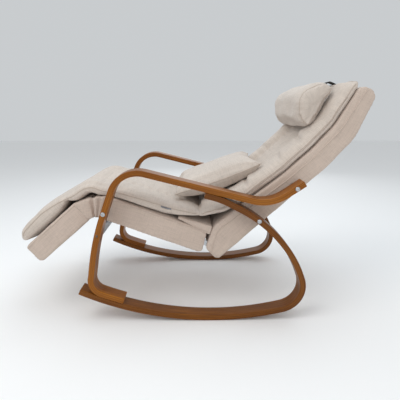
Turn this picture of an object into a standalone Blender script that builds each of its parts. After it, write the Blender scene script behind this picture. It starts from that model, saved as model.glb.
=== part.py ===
"""Bentwood rocking recliner: hinged footrest, upholstered seat and back, loose pillows.

Metres, +Z up. The foot end points to -X and the sitter's left side is -Y. The origin is on
the ground at the middle of the overall box. The side view lies in the XZ plane, so every
outline is a list of (x, z) points.
"""

import bpy
import bmesh
from math import asin, atan2, ceil, cos, hypot, pi, radians, sin, tan

# ---------------------------------------------------------------- driving dimensions
SEAT_GAP = 0.0003            # air between faces that touch
CUT_PAST = 0.005             # how far a cutter runs past what it cuts
OVERALL_WIDTH = 0.660        # across the two side frames
STRIP_WIDTH = 0.062          # bentwood strip, across the chair
STRIP_THICKNESS = 0.022
STRIP_EDGE = 0.0025
SPACER_LENGTH = 0.0135       # between side frame and upholstery

CONTACT_X = 0.065            # where the rocker touches the ground
ROCKER_RADIUS = 1.200
ROCKER_FRONT_REACH = 0.513   # contact point to the front tip
ROCKER_REAR_REACH = 0.275    # contact point to the end of the arc
ROCKER_TAIL = 0.112          # straight run between the arc and the rear bend
REST_FLAT = 0.080            # level run at the bottom, on which the chair stands still
REAR_BEND_RADIUS = 0.096
REAR_LEG_KNEE = (0.3806, 0.2537)
REAR_LEG_KNEE_RADIUS = 0.447
REAR_LEG_SHOULDER = (0.2582, 0.4004)
REAR_LEG_SHOULDER_RADIUS = 0.50

ARM_FRONT = (-0.2696, 0.6024)
ARM_FRONT_RADIUS = 0.103
ARM_DIP = (0.2774, 0.4629)
ARM_DIP_RADIUS = 0.150
ARM_END = (0.398, 0.5439)
ARM_LAP = (0.037, 0.0937)    # x where the rear strip starts and where it leaves the arm
ARM_LAP_RADIUS = 0.316
LEG_BOW = (-0.3701, 0.3369)
LEG_BOW_RADIUS = 1.0
FOOT_BEND_RADIUS = 0.055
FOOT_FRONT_REACH = 0.440     # contact point to where the foot meets the rocker
FOOT_REAR_REACH = 0.350

FRONT_BOLT_HEIGHT = 0.433
STRETCHER_HEIGHT = 0.350     # middle of its screw
REAR_LEG_BOLT_X = 0.237
ARM_BOLT_X = 0.370
BOLT_RADIUS = 0.004
BOLT_CLEARANCE = 0.0003
BOLT_HEAD_RADIUS = 0.0085
BOLT_HEAD_HEIGHT = 0.0045
SPACER_RADIUS = 0.009
SCREW_RADIUS = 0.0025
SCREW_HEAD_RADIUS = 0.0042
SCREW_DEPTH = 0.035          # into the stretcher
STRETCHER_DEPTH = 0.046
STRETCHER_THICKNESS = 0.020
STRETCHER_BELOW_SCREW = 0.015
STRETCHER_EDGE = 0.002

HINGE_AXIS = (-0.392, 0.430)
SEAT_ANGLE = radians(20.3)   # falls towards the back
SEAT_THICKNESS = 0.094
SEAT_LENGTH = 0.408
SEAT_START = 0.0395          # hinge axis to the front of the seat cover
FOOTREST_ANGLE = radians(41.0)
FOOTREST_THICKNESS = 0.087
FOOTREST_RISE = 0.0225       # its middle plane above the hinge axis
FOOTREST_START = 0.035
FOOTREST_LENGTH = 0.271
BOX_CORNER = 0.016
COVER_WALL = 0.010
COVER_EDGE = 0.005

BACK_LOWER = 0.235           # rear leg bolt to the lower end
BACK_STRAIGHT = 0.140        # arm bolt to the first bend
BACK_MIDDLE = 0.135
BACK_UPPER = 0.172
BACK_BEND = radians(5.6)
BACK_HEAD_BEND = radians(19.7)
BACK_BEND_RADIUS = 0.60
BACK_HEAD_RADIUS = 0.16
BACK_BEHIND = 0.0360         # rear face behind the rails
BACK_FRONT = 0.053           # front face before the rails
BACK_FRONT_LOW = 0.032       # the same at the lower end
BACK_FRONT_BELLY = 0.080     # and where the cushion folds away
BACK_FRONT_TOP = 0.033
BACK_PANEL_MARGIN = 0.030
BACK_PANEL_THICKNESS = 0.004
BACK_PANEL_SUNK = 0.001

RAIL_HEIGHT = 0.025
RAIL_THICKNESS = 0.004
ROD_RADIUS = 0.006
WEB_WIDTH = 0.050
WEB_THICKNESS = 0.002
LEAF_THICKNESS = 0.003
LEAF_HEIGHT = 0.022
LEAF_HOLD = 0.060            # lap of a hinge leaf on its rail
BRACKET_HOLD = 0.062         # lap of a seat-to-back bracket on each rail
ROD_SPACE = 0.018            # from the end of such a lap to the middle of a rod
PIN_RADIUS = 0.004
PIN_CLEARANCE = 0.0002
PIN_HEAD = 0.002
BRACKET_HEIGHT = 0.020
SLOT_CLEARANCE = 0.0008
SLEEVE_THICKNESS = 0.003
SLEEVE_FOLD = -0.004         # where the sleeve turns, along the seat from the hinge axis
SLEEVE_DIP = 0.010           # and how far below the top of the seat
SLEEVE_FOLD_RADIUS = 0.020

CUSHION_LIFT = 0.0008        # a cushion above the cover that it lies on
CUSHION_WIDTH = 0.500
CUSHION_EDGE = 0.014
LEG_CUSHION = (0.060, 0.286, 0.074)     # start, end and height, along the footrest
KNEE_CUSHION_HEIGHT = 0.062
KNEE_CUSHION_EDGE = 0.005
CUSHION_JOIN = 0.002         # between the knee cushion and its neighbours
SEAT_CUSHION_START = 0.008
SEAT_CUSHION_END = 0.385
SEAT_CUSHION_HEIGHT = 0.060
BACK_CUSHION_HEIGHT = 0.050
BACK_CUSHION_FOLD = (0.038, 0.408)
BACK_CUSHION_LAP = (0.140, 0.450)
BACK_CUSHION_OVERHANG = 0.012
FLAP_LENGTH = 0.135          # reaches this far forward of the seat's end
FLAP_FOOT = 0.074            # up the back's front face from its lower corner
FLAP_CLEARANCE = 0.0005      # off the back
FLAP_RISE = 0.012            # its forward corner above the seat cover

PILLOW_CENTRE = (0.084, 0.5523)
PILLOW_LENGTH = 0.400
PILLOW_WIDTH = 0.400
PILLOW_THICKNESS = 0.095
PILLOW_RIM = 0.006
PILLOW_EDGE = 0.004
PILLOW_ANGLE = radians(25)
NECK_WIDTH = 0.440
NECK_EDGE = 0.010
NECK_SETTLE = 0.001          # its rounded lower corners let it sit this much deeper
REST_GAP = 0.0005            # between a loose piece and what it rests on
STRAP_WIDTH = 0.045
STRAP_THICKNESS = 0.002
STRAP_FOOT = 0.020           # up the end face of the neck pillow
STRAP_DROP = 0.070           # from the top of the back down to the pouch
WEIGHT_WIDTH = 0.160
WEIGHT_LENGTH = 0.062
WEIGHT_THICKNESS = 0.016
WEIGHT_CORNER = 0.005
TAB_SIZE = (0.038, 0.015, 0.0012)
TAB_ALONG = 0.262

ARC_STEP = radians(7)        # between the points of an arc
LONG_ARC_STEP = 0.036        # or this far apart on a long arc

# ---------------------------------------------------------------- derived dimensions
FRAME_OUTER = OVERALL_WIDTH / 2
FRAME_INNER = FRAME_OUTER - STRIP_WIDTH
BOX_HALF = FRAME_INNER - SPACER_LENGTH - 2 * SEAT_GAP
RAIL_OUTER = BOX_HALF - COVER_WALL - SEAT_GAP
RAIL_INNER = RAIL_OUTER - RAIL_THICKNESS
FIXED_LEAF_OUTER = RAIL_INNER - SEAT_GAP
FIXED_LEAF_INNER = FIXED_LEAF_OUTER - LEAF_THICKNESS
MOVING_LEAF_OUTER = FIXED_LEAF_INNER - SEAT_GAP
MOVING_LEAF_INNER = MOVING_LEAF_OUTER - LEAF_THICKNESS
FOOT_RAIL_INNER = MOVING_LEAF_OUTER + SEAT_GAP
FOOT_RAIL_OUTER = FOOT_RAIL_INNER + RAIL_THICKNESS
SIDES = (("left", -1), ("right", 1))

# ---------------------------------------------------------------- scene and collections
for old_object in list(bpy.data.objects):
    bpy.data.objects.remove(old_object, do_unlink=True)


def new_collection(name):
    collection = bpy.data.collections.new(name)
    bpy.context.scene.collection.children.link(collection)
    return collection


PARTS = new_collection("rocking_chair")
CUTTERS = new_collection("cutters")
CUTTERS.hide_render = True


# ---------------------------------------------------------------- materials
def material(name, colour, roughness, metallic=0.0):
    made = bpy.data.materials.new(name)
    made.use_nodes = True
    shader = made.node_tree.nodes["Principled BSDF"]
    shader.inputs["Base Color"].default_value = (*colour, 1.0)
    shader.inputs["Roughness"].default_value = roughness
    shader.inputs["Metallic"].default_value = metallic
    made.diffuse_color = (*colour, 1.0)
    return made


FINISHES = {
    "wood": ((0.36, 0.15, 0.04), 0.35, 0.0),
    "linen": ((0.58, 0.50, 0.43), 0.9, 0.0),
    "lining": ((0.10, 0.09, 0.09), 0.9, 0.0),
    "steel": ((0.62, 0.62, 0.64), 0.3, 1.0),
    "frame": ((0.03, 0.03, 0.03), 0.5, 0.0),
    "webbing": ((0.06, 0.06, 0.06), 0.8, 0.0),
}


# ---------------------------------------------------------------- outlines in the side view
def add(point, direction, distance):
    return (point[0] + direction[0] * distance, point[1] + direction[1] * distance)


def towards(start, end):
    length = hypot(end[0] - start[0], end[1] - start[1])
    return ((end[0] - start[0]) / length, (end[1] - start[1]) / length)


def heading(angle):
    return (cos(angle), sin(angle))


def left_of(direction):
    return (-direction[1], direction[0])


def fillet(before, corner, after, radius):
    """The points of the arc that rounds a corner, or the corner itself."""
    arriving = towards(before, corner)
    leaving = towards(corner, after)
    turn = atan2(
        arriving[0] * leaving[1] - arriving[1] * leaving[0],
        arriving[0] * leaving[0] + arriving[1] * leaving[1],
    )
    if radius <= 0 or abs(turn) < radians(0.5):
        return [corner]
    tangent = radius * tan(abs(turn) / 2)
    side = 1 if turn > 0 else -1
    start = add(corner, arriving, -tangent)
    centre = add(start, left_of(arriving), side * radius)
    steps = max(2, ceil(abs(turn) / ARC_STEP), ceil(abs(turn) * radius / LONG_ARC_STEP))
    first = atan2(start[1] - centre[1], start[0] - centre[0])
    return [add(centre, heading(first + turn * k / steps), radius) for k in range(steps + 1)]


def tidy(points):
    """Leaves out a point that repeats the one before it."""
    kept = []
    for point in points:
        if not kept or hypot(point[0] - kept[-1][0], point[1] - kept[-1][1]) > 0.0002:
            kept.append(point)
    return kept


def rounded_path(corners, radii):
    """An open path through its corners; radii belong to the inner corners."""
    points = [corners[0]]
    for k, radius in enumerate(radii, start=1):
        points += fillet(corners[k - 1], corners[k], corners[k + 1], radius)
    return tidy(points + [corners[-1]])


def rounded_outline(corners, radii):
    """A closed outline with each corner rounded to its own radius."""
    count = len(corners)
    points = []
    for k, radius in enumerate(radii):
        points += fillet(corners[k - 1], corners[k], corners[(k + 1) % count], radius)
    points = tidy(points)
    if hypot(points[0][0] - points[-1][0], points[0][1] - points[-1][1]) < 0.0002:
        points.pop()
    return points


def offset(points, distances):
    """The path moved to its left by a distance at each point, with mitred corners."""
    if not isinstance(distances, (list, tuple)):
        distances = [distances] * len(points)
    moved = []
    for k, point in enumerate(points):
        arriving = towards(points[k - 1], point) if k > 0 else towards(point, points[1])
        leaving = towards(point, points[k + 1]) if k + 1 < len(points) else arriving
        across = left_of(towards((0, 0), (arriving[0] + leaving[0], arriving[1] + leaving[1])))
        mitre = across[0] * left_of(arriving)[0] + across[1] * left_of(arriving)[1]
        moved.append(add(point, across, distances[k] / mitre))
    return moved


def ribbon(points, right, left):
    """A closed outline from right to left of a path, both measured to the left."""
    return offset(points, left) + offset(points, right)[::-1]


def slab(corners, bends, right, left, end_radius):
    """A ribbon along a path of corners, whose bends and ends are rounded."""
    upper = offset(corners, left)
    lower = offset(corners, right)
    return rounded_outline(
        upper + lower[::-1],
        [end_radius, *bends, end_radius, end_radius, *bends[::-1], end_radius],
    )


def stretch(points, start, end):
    """The part of a path between two distances along it."""
    kept = []
    travelled = 0.0
    for k in range(1, len(points)):
        step = hypot(points[k][0] - points[k - 1][0], points[k][1] - points[k - 1][1])
        direction = towards(points[k - 1], points[k])
        for mark in (start, end):
            if travelled <= mark < travelled + step:
                kept.append(add(points[k - 1], direction, mark - travelled))
        travelled += step
        if start < travelled < end:
            kept.append(points[k])
    return tidy(kept)


def crossing(points, axis, value):
    """The last point of a path where x (axis 0) or z (axis 1) has a value, and its direction."""
    found = None
    for a, b in zip(points, points[1:]):
        if min(a[axis], b[axis]) <= value <= max(a[axis], b[axis]):
            share = (value - a[axis]) / (b[axis] - a[axis])
            found = ((a[0] + (b[0] - a[0]) * share, a[1] + (b[1] - a[1]) * share), towards(a, b))
    return found


# ---------------------------------------------------------------- solids
def finish(made, name, material_name, collection):
    made.name = name
    made.data.name = name
    if collection is PARTS:
        colour, roughness, metallic = FINISHES[material_name]
        made.data.materials.clear()
        made.data.materials.append(material(name, colour, roughness, metallic))
    else:
        made.hide_render = True
        made.display_type = "WIRE"
    return made


def plate(name, outline, low_y, high_y, material_name=None, collection=None, edge=0.0):
    """A flat outline in the side view, extruded between two y values, with bevelled edges."""
    collection = collection or (PARTS if material_name else CUTTERS)
    curve = bpy.data.curves.new(name + "_outline", "CURVE")
    curve.dimensions = "2D"
    curve.fill_mode = "BOTH"
    curve.extrude = (high_y - low_y) / 2
    spline = curve.splines.new("POLY")
    spline.points.add(len(outline) - 1)
    for point, (x, z) in zip(spline.points, outline):
        point.co = (x, z, 0, 1)
    spline.use_cyclic_u = True
    sketch = bpy.data.objects.new(name + "_outline", curve)
    sketch.rotation_euler = (pi / 2, 0, 0)
    sketch.location = (0, (low_y + high_y) / 2, 0)
    collection.objects.link(sketch)
    bpy.context.view_layer.update()
    evaluated = sketch.evaluated_get(bpy.context.evaluated_depsgraph_get())
    mesh = bpy.data.meshes.new_from_object(evaluated)
    mesh.transform(sketch.matrix_world)
    work = bmesh.new()
    work.from_mesh(mesh)
    bmesh.ops.remove_doubles(work, verts=work.verts, dist=0.00005)
    bmesh.ops.dissolve_limit(
        work, angle_limit=radians(0.2), verts=work.verts, edges=work.edges,
        use_dissolve_boundaries=False,
    )
    bmesh.ops.recalc_face_normals(work, faces=work.faces)
    work.to_mesh(mesh)
    work.free()
    bpy.data.objects.remove(sketch, do_unlink=True)
    made = bpy.data.objects.new(name, mesh)
    collection.objects.link(made)
    if edge:
        bevel = made.modifiers.new("edges", "BEVEL")
        bevel.width = edge
        bevel.segments = 1
        bevel.limit_method = "ANGLE"
        bevel.angle_limit = radians(50)
    return finish(made, name, material_name, collection)


def turned(name, profile, centre, direction, material_name=None, steps=20):
    """A profile of (radius, distance) turned about an axis along Y that starts at centre."""
    collection = PARTS if material_name else CUTTERS
    mesh = bpy.data.meshes.new(name)
    closed = profile[0][0] > 0
    edges = [(k, k + 1) for k in range(len(profile) - 1)]
    if closed:
        edges.append((len(profile) - 1, 0))
    mesh.from_pydata([(radius, 0, -distance) for radius, distance in profile], edges, [])
    made = bpy.data.objects.new(name, mesh)
    made.location = (centre[0], centre[1], centre[2])
    made.rotation_euler = (direction * pi / 2, 0, 0)
    collection.objects.link(made)
    screw = made.modifiers.new("turn", "SCREW")
    screw.steps = steps
    screw.render_steps = steps
    screw.use_merge_vertices = True
    screw.merge_threshold = 0.00005
    return finish(made, name, material_name, collection)


def cylinder(name, centre, radius, low_y, high_y, steps=20):
    """A round cutter or rod along Y."""
    profile = [(0, 0), (radius, 0), (radius, high_y - low_y), (0, high_y - low_y)]
    return turned(name, profile, (centre[0], low_y, centre[1]), 1, None, steps)


def combine(target, other, operation):
    change = target.modifiers.new(other.name, "BOOLEAN")
    change.operation = operation
    change.solver = "EXACT"
    change.object = other
    return target


def span(side, inner, outer):
    """The y range between two distances from the middle, on one side."""
    return (inner, outer) if side > 0 else (-outer, -inner)


# ---------------------------------------------------------------- side frames
REST_RISE = (ROCKER_RADIUS - STRIP_THICKNESS / 2) * (1 - cos(asin(REST_FLAT / 2 / ROCKER_RADIUS)))
ROCKER_CENTRE = (CONTACT_X, ROCKER_RADIUS - REST_RISE)


def on_rocker(radius, reach):
    """A point on a circle about the rocker's centre, and the circle's backward direction there."""
    angle = asin(reach / ROCKER_RADIUS)
    point = (ROCKER_CENTRE[0] + radius * sin(angle), ROCKER_CENTRE[1] - radius * cos(angle))
    return point, (cos(angle), sin(angle))


def arm_strip_path():
    """Arm, front leg and the foot that laps onto the rocker, along the middle of the strip."""
    radius = ROCKER_RADIUS - 1.5 * STRIP_THICKNESS - SEAT_GAP
    touch, backwards = on_rocker(radius, -FOOT_FRONT_REACH)
    end, end_direction = on_rocker(radius, -FOOT_REAR_REACH)
    tangent = FOOT_BEND_RADIUS
    for _ in range(12):
        bend = add(touch, backwards, -tangent)
        down = towards(LEG_BOW, bend)
        across = down[0] * backwards[1] - down[1] * backwards[0]
        turn = abs(atan2(across, down[0] * backwards[0] + down[1] * backwards[1]))
        tangent = FOOT_BEND_RADIUS * tan(turn / 2)
    corners = [ARM_END, ARM_DIP, ARM_FRONT, LEG_BOW, bend, touch]
    upper = rounded_path(corners, [ARM_DIP_RADIUS, ARM_FRONT_RADIUS, LEG_BOW_RADIUS, FOOT_BEND_RADIUS])
    reach = [FOOT_FRONT_REACH + (FOOT_REAR_REACH - FOOT_FRONT_REACH) * k / 3 for k in (1, 2)]
    foot = [on_rocker(radius, -value)[0] for value in reach]
    return tidy(upper + foot + [end])


def rocker_strip_path():
    """Rear leg from under the arm, rear bend and rocker, along the middle of the strip."""
    arm = towards(ARM_FRONT, ARM_DIP)
    below = offset([ARM_FRONT, ARM_DIP], -STRIP_THICKNESS - SEAT_GAP)[0]
    lap = [add(below, arm, (x - below[0]) / arm[0]) for x in ARM_LAP]
    radius = ROCKER_RADIUS - STRIP_THICKNESS / 2
    rear, backwards = on_rocker(radius, ROCKER_REAR_REACH)
    steps = ceil((ROCKER_REAR_REACH + ROCKER_FRONT_REACH) / LONG_ARC_STEP)
    reach = ROCKER_REAR_REACH + ROCKER_FRONT_REACH
    reaches = [ROCKER_REAR_REACH - reach * k / steps for k in range(steps + 1)]
    curved = [value for value in reaches if abs(value) > (REST_FLAT + LONG_ARC_STEP) / 2]
    level = [REST_FLAT / 2, -REST_FLAT / 2]
    arc = [on_rocker(radius, value)[0] for value in sorted(curved + level, reverse=True)]
    corners = [*lap, REAR_LEG_SHOULDER, REAR_LEG_KNEE, add(rear, backwards, ROCKER_TAIL), rear]
    radii = [ARM_LAP_RADIUS, REAR_LEG_SHOULDER_RADIUS, REAR_LEG_KNEE_RADIUS, REAR_BEND_RADIUS]
    return tidy(rounded_path(corners, radii) + arc)


ARM_PATH = arm_strip_path()
ROCKER_PATH = rocker_strip_path()
FRONT_BOLT = crossing(ARM_PATH, 1, FRONT_BOLT_HEIGHT)[0]
ARM_BOLT = crossing(ARM_PATH[: len(ARM_PATH) // 2], 0, ARM_BOLT_X)[0]
REAR_LEG_BOLT = crossing(ROCKER_PATH[: len(ROCKER_PATH) // 3], 0, REAR_LEG_BOLT_X)[0]
STRETCHER_SCREW, LEG_DIRECTION = crossing(ARM_PATH, 1, STRETCHER_HEIGHT)


def hole(target, name, centre, radius, low_y, high_y):
    combine(target, cylinder(name, centre, radius, low_y, high_y), "DIFFERENCE")


def bolt(name, centre, side, length, head_radius, head_height, shank_radius):
    """A domed head on the outer face of the side frame, with a driver recess, and a plain shank inwards."""
    recess = head_radius * 0.34
    profile = [
        (0, head_height * 0.45),
        (recess, head_height * 0.45),
        (recess, 0.0),
        (head_radius * 0.72, head_height * 0.12),
        (head_radius, head_height * 0.6),
        (head_radius, head_height),
        (shank_radius, head_height),
        (shank_radius, head_height + SEAT_GAP + length),
        (0, head_height + SEAT_GAP + length),
    ]
    top = FRAME_OUTER + SEAT_GAP + head_height
    return turned(name, profile, (centre[0], side * top, centre[1]), -side, "steel")


def side_frame(label, side):
    low, high = span(side, FRAME_INNER, FRAME_OUTER)
    half = STRIP_THICKNESS / 2
    arm_outline = ribbon(ARM_PATH, -half, half)
    rocker_outline = ribbon(ROCKER_PATH, -half, half)
    arm = plate(label + "_arm_front_leg", arm_outline, low, high, "wood", edge=STRIP_EDGE)
    rocker = plate(label + "_rocker_rear_leg", rocker_outline, low, high, "wood", edge=STRIP_EDGE)
    bolt_hole = BOLT_RADIUS + BOLT_CLEARANCE
    screw_hole = SCREW_RADIUS + BOLT_CLEARANCE
    near, far = low - CUT_PAST, high + CUT_PAST
    hole(arm, label + "_front_bolt_hole", FRONT_BOLT, bolt_hole, near, far)
    hole(arm, label + "_arm_bolt_hole", ARM_BOLT, bolt_hole, near, far)
    hole(arm, label + "_screw_hole", STRETCHER_SCREW, screw_hole, near, far)
    hole(rocker, label + "_leg_bolt_hole", REAR_LEG_BOLT, bolt_hole, near, far)
    reach = FRAME_OUTER - RAIL_INNER
    outer = FRAME_INNER - SEAT_GAP
    for place, centre in (("front", FRONT_BOLT), ("arm", ARM_BOLT), ("rear_leg", REAR_LEG_BOLT)):
        bolt(
            f"{label}_{place}_bolt", centre, side, reach,
            BOLT_HEAD_RADIUS, BOLT_HEAD_HEIGHT, BOLT_RADIUS,
        )
        ring = [
            (SPACER_RADIUS, 0),
            (SPACER_RADIUS, SPACER_LENGTH),
            (BOLT_RADIUS + BOLT_CLEARANCE, SPACER_LENGTH),
            (BOLT_RADIUS + BOLT_CLEARANCE, 0),
        ]
        middle = (centre[0], side * outer, centre[1])
        turned(f"{label}_{place}_spacer", ring, middle, -side, "steel")
    bolt(
        label + "_stretcher_screw", STRETCHER_SCREW, side, STRIP_WIDTH + SCREW_DEPTH,
        SCREW_HEAD_RADIUS, SCREW_HEAD_RADIUS * 0.6, SCREW_RADIUS,
    )


for side_label, side_sign in SIDES:
    side_frame(side_label, side_sign)


def stretcher():
    upwards = (-LEG_DIRECTION[0], -LEG_DIRECTION[1])
    low = add(STRETCHER_SCREW, upwards, -STRETCHER_BELOW_SCREW)
    half = STRETCHER_THICKNESS / 2
    board = ribbon([low, add(low, upwards, STRETCHER_DEPTH)], -half, half)
    end = FRAME_INNER - SEAT_GAP
    made = plate("front_stretcher", board, -end, end, "frame", edge=STRETCHER_EDGE)
    radius = SCREW_RADIUS + BOLT_CLEARANCE
    for label, side in SIDES:
        near, far = span(side, end - SCREW_DEPTH - 0.002, end + CUT_PAST)
        hole(made, label + "_stretcher_hole", STRETCHER_SCREW, radius, near, far)


stretcher()


# ---------------------------------------------------------------- upholstered boxes
def local_line(origin, direction, start, end, rise):
    """A straight path from start to end along a direction, raised to the left of it."""
    base = add(origin, left_of(direction), rise)
    return [add(base, direction, start), add(base, direction, end)]


SEAT_DIRECTION = heading(-SEAT_ANGLE)
SEAT_NORMAL = left_of(SEAT_DIRECTION)
SEAT_RISE = (
    (FRONT_BOLT[0] - HINGE_AXIS[0]) * SEAT_NORMAL[0] + (FRONT_BOLT[1] - HINGE_AXIS[1]) * SEAT_NORMAL[1]
)
SEAT_TOP = SEAT_RISE + SEAT_THICKNESS / 2
FOOTREST_DIRECTION = heading(pi + FOOTREST_ANGLE)
FOOTREST_TOP = FOOTREST_RISE + FOOTREST_THICKNESS / 2


def seat_point(along, above):
    """A point of the seat's own frame: along it from the hinge, and above the hinge axis."""
    return add(add(HINGE_AXIS, SEAT_DIRECTION, along), SEAT_NORMAL, above)


def footrest_point(along, above):
    return add(add(HINGE_AXIS, FOOTREST_DIRECTION, along), left_of(FOOTREST_DIRECTION), -above)


def box_outline(corners, open_radius, closed_radius):
    """A box in the side view; its first two corners are at the open end."""
    return rounded_outline(corners, [open_radius, open_radius, closed_radius, closed_radius])


def open_cover(name, point, low, high, start, end, inner_half):
    """A padded fabric sleeve around a box, open at its hinge end."""
    corners = [point(start, low), point(start, high), point(end, high), point(end, low)]
    outer = box_outline(corners, 0, BOX_CORNER)
    inside = box_outline(
        [
            point(start - CUT_PAST, low + COVER_WALL),
            point(start - CUT_PAST, high - COVER_WALL),
            point(end - COVER_WALL, high - COVER_WALL),
            point(end - COVER_WALL, low + COVER_WALL),
        ],
        0,
        BOX_CORNER - COVER_WALL,
    )
    made = plate(name, outer, -BOX_HALF, BOX_HALF, "linen", edge=COVER_EDGE)
    combine(made, plate(name + "_hollow", inside, -inner_half, inner_half), "DIFFERENCE")
    return made


seat_low = SEAT_RISE - SEAT_THICKNESS / 2
seat_end = SEAT_START + SEAT_LENGTH
SEAT_COVER = open_cover(
    "seat_cover", seat_point, seat_low, SEAT_TOP, SEAT_START, seat_end, RAIL_OUTER + SEAT_GAP
)
footrest_low = FOOTREST_RISE - FOOTREST_THICKNESS / 2
footrest_end = FOOTREST_START + FOOTREST_LENGTH
open_cover(
    "footrest_cover", footrest_point, footrest_low, FOOTREST_TOP, FOOTREST_START, footrest_end,
    FOOT_RAIL_OUTER + SEAT_GAP,
)

# The back follows the line through its two bolts, with two bends above them.
LOWER_DIRECTION = towards(REAR_LEG_BOLT, ARM_BOLT)
lower_angle = atan2(LOWER_DIRECTION[1], LOWER_DIRECTION[0])
back_start = add(REAR_LEG_BOLT, LOWER_DIRECTION, -BACK_LOWER)
back_belly = add(REAR_LEG_BOLT, LOWER_DIRECTION, -BACK_LOWER * 0.65)
back_bend = add(ARM_BOLT, LOWER_DIRECTION, BACK_STRAIGHT)
back_head = add(back_bend, heading(lower_angle + BACK_BEND), BACK_MIDDLE)
HEAD_DIRECTION = heading(lower_angle + BACK_BEND + BACK_HEAD_BEND)
back_top = add(back_head, HEAD_DIRECTION, BACK_UPPER)
BACK_CORNERS = [back_start, back_belly, REAR_LEG_BOLT, ARM_BOLT, back_bend, back_head, back_top]
BACK_BENDS = [0.05, 0.3, 0.4, BACK_BEND_RADIUS, BACK_HEAD_RADIUS]
BACK_FRONTS = [
    BACK_FRONT_LOW, BACK_FRONT_BELLY, BACK_FRONT_BELLY * 0.85,
    BACK_FRONT, BACK_FRONT, BACK_FRONT, BACK_FRONT_TOP,
]
BACK_PATH = rounded_path(
    [back_start, back_bend, back_head, back_top], [BACK_BEND_RADIUS, BACK_HEAD_RADIUS]
)


def shorter(corners, first, last):
    """The same corners with both ends moved inwards."""
    start = add(corners[0], towards(corners[0], corners[1]), first)
    end = add(corners[-1], towards(corners[-1], corners[-2]), last)
    return [start, *corners[1:-1], end]


def back_cover():
    outer = slab(BACK_CORNERS, BACK_BENDS, -BACK_BEHIND, BACK_FRONTS, BOX_CORNER)
    made = plate("back_cover", outer, -BOX_HALF, BOX_HALF, "linen", edge=COVER_EDGE)
    inner_fronts = [front - COVER_WALL for front in BACK_FRONTS]
    corners = shorter(BACK_CORNERS, COVER_WALL, COVER_WALL)
    behind = -BACK_BEHIND + COVER_WALL
    inside = slab(corners, BACK_BENDS, behind, inner_fronts, BOX_CORNER - COVER_WALL)
    half = RAIL_OUTER + SEAT_GAP
    combine(made, plate("back_hollow", inside, -half, half), "DIFFERENCE")
    corners = shorter(BACK_PATH, BACK_PANEL_MARGIN, BACK_PANEL_MARGIN)
    opening = ribbon(corners, -BACK_BEHIND - CUT_PAST, behind + CUT_PAST)
    half = BOX_HALF - BACK_PANEL_MARGIN
    combine(made, plate("back_window", opening, -half, half), "DIFFERENCE")
    margin = BACK_PANEL_MARGIN + SEAT_GAP
    corners = shorter(BACK_PATH, margin, margin)
    sunk = -BACK_BEHIND + BACK_PANEL_SUNK
    panel = ribbon(corners, sunk, sunk + BACK_PANEL_THICKNESS)
    half = BOX_HALF - margin
    plate("back_rear_panel", panel, -half, half, "lining")
    return made


BACK_COVER = back_cover()

for side_label, side_sign in SIDES:
    near, far = span(side_sign, RAIL_INNER - 0.005, BOX_HALF + 0.005)
    radius = BOLT_RADIUS + BOLT_CLEARANCE
    hole(SEAT_COVER, side_label + "_seat_cover_hole", FRONT_BOLT, radius, near, far)
    hole(BACK_COVER, side_label + "_back_cover_arm_hole", ARM_BOLT, radius, near, far)
    hole(BACK_COVER, side_label + "_back_cover_leg_hole", REAR_LEG_BOLT, radius, near, far)


# ---------------------------------------------------------------- steel frames and webbing
def rail_frame(name, path, outer, rods, bolts):
    """Two flat rails on edge, joined by round rods, with a hole for each bolt."""
    half = RAIL_HEIGHT / 2
    bar = ribbon(path, -half, half)
    made = plate(name, bar, outer - RAIL_THICKNESS, outer, "frame")
    combine(made, plate(name + "_left_rail", bar, -outer, RAIL_THICKNESS - outer), "UNION")
    for k, centre in enumerate(rods):
        reach = outer - RAIL_THICKNESS / 2
        combine(made, cylinder(f"{name}_rod_{k + 1}", centre, ROD_RADIUS, -reach, reach, 12), "UNION")
    for k, centre in enumerate(bolts):
        for label, side in SIDES:
            near, far = span(side, outer - RAIL_THICKNESS - 0.003, outer + 0.003)
            hole(made, f"{name}_{label}_hole_{k + 1}", centre, BOLT_RADIUS + BOLT_CLEARANCE, near, far)
    return made


def webbing(prefix, path, marks, half_width):
    """Elastic straps across the rails, centred at distances along their path."""
    for k, mark in enumerate(marks):
        piece = stretch(path, mark - WEB_WIDTH / 2, mark + WEB_WIDTH / 2)
        base = RAIL_HEIGHT / 2 + SEAT_GAP
        band = ribbon(piece, base, base + WEB_THICKNESS)
        plate(f"{prefix}_webbing_{k + 1}", band, -half_width, half_width, "webbing")


def path_length(path):
    return sum(hypot(b[0] - a[0], b[1] - a[1]) for a, b in zip(path, path[1:]))


def at_distance(path, distance):
    return stretch(path, distance, distance + 0.004)[0]


RAIL_INSET = COVER_WALL + 0.001
seat_rail = [seat_point(SEAT_START + 0.001, SEAT_RISE), seat_point(seat_end - RAIL_INSET, SEAT_RISE)]
seat_rail_length = path_length(seat_rail)
rail_frame(
    "seat_rail_frame", seat_rail, RAIL_OUTER,
    [
        at_distance(seat_rail, LEAF_HOLD + ROD_SPACE),
        at_distance(seat_rail, seat_rail_length - BRACKET_HOLD - ROD_SPACE),
    ],
    [FRONT_BOLT],
)
webbing("seat", seat_rail, [seat_rail_length * share for share in (0.30, 0.55, 0.80)], RAIL_OUTER)

foot_rail = [
    footrest_point(footrest_end - RAIL_INSET, FOOTREST_RISE),
    footrest_point(FOOTREST_START, FOOTREST_RISE),
]
foot_rail_length = path_length(foot_rail)
rail_frame(
    "footrest_rail_frame", foot_rail, FOOT_RAIL_OUTER,
    [
        at_distance(foot_rail, ROD_SPACE),
        at_distance(foot_rail, foot_rail_length - LEAF_HOLD - ROD_SPACE),
    ],
    [],
)
webbing("footrest", foot_rail, [foot_rail_length * share for share in (0.32, 0.60)], FOOT_RAIL_OUTER)

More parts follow.
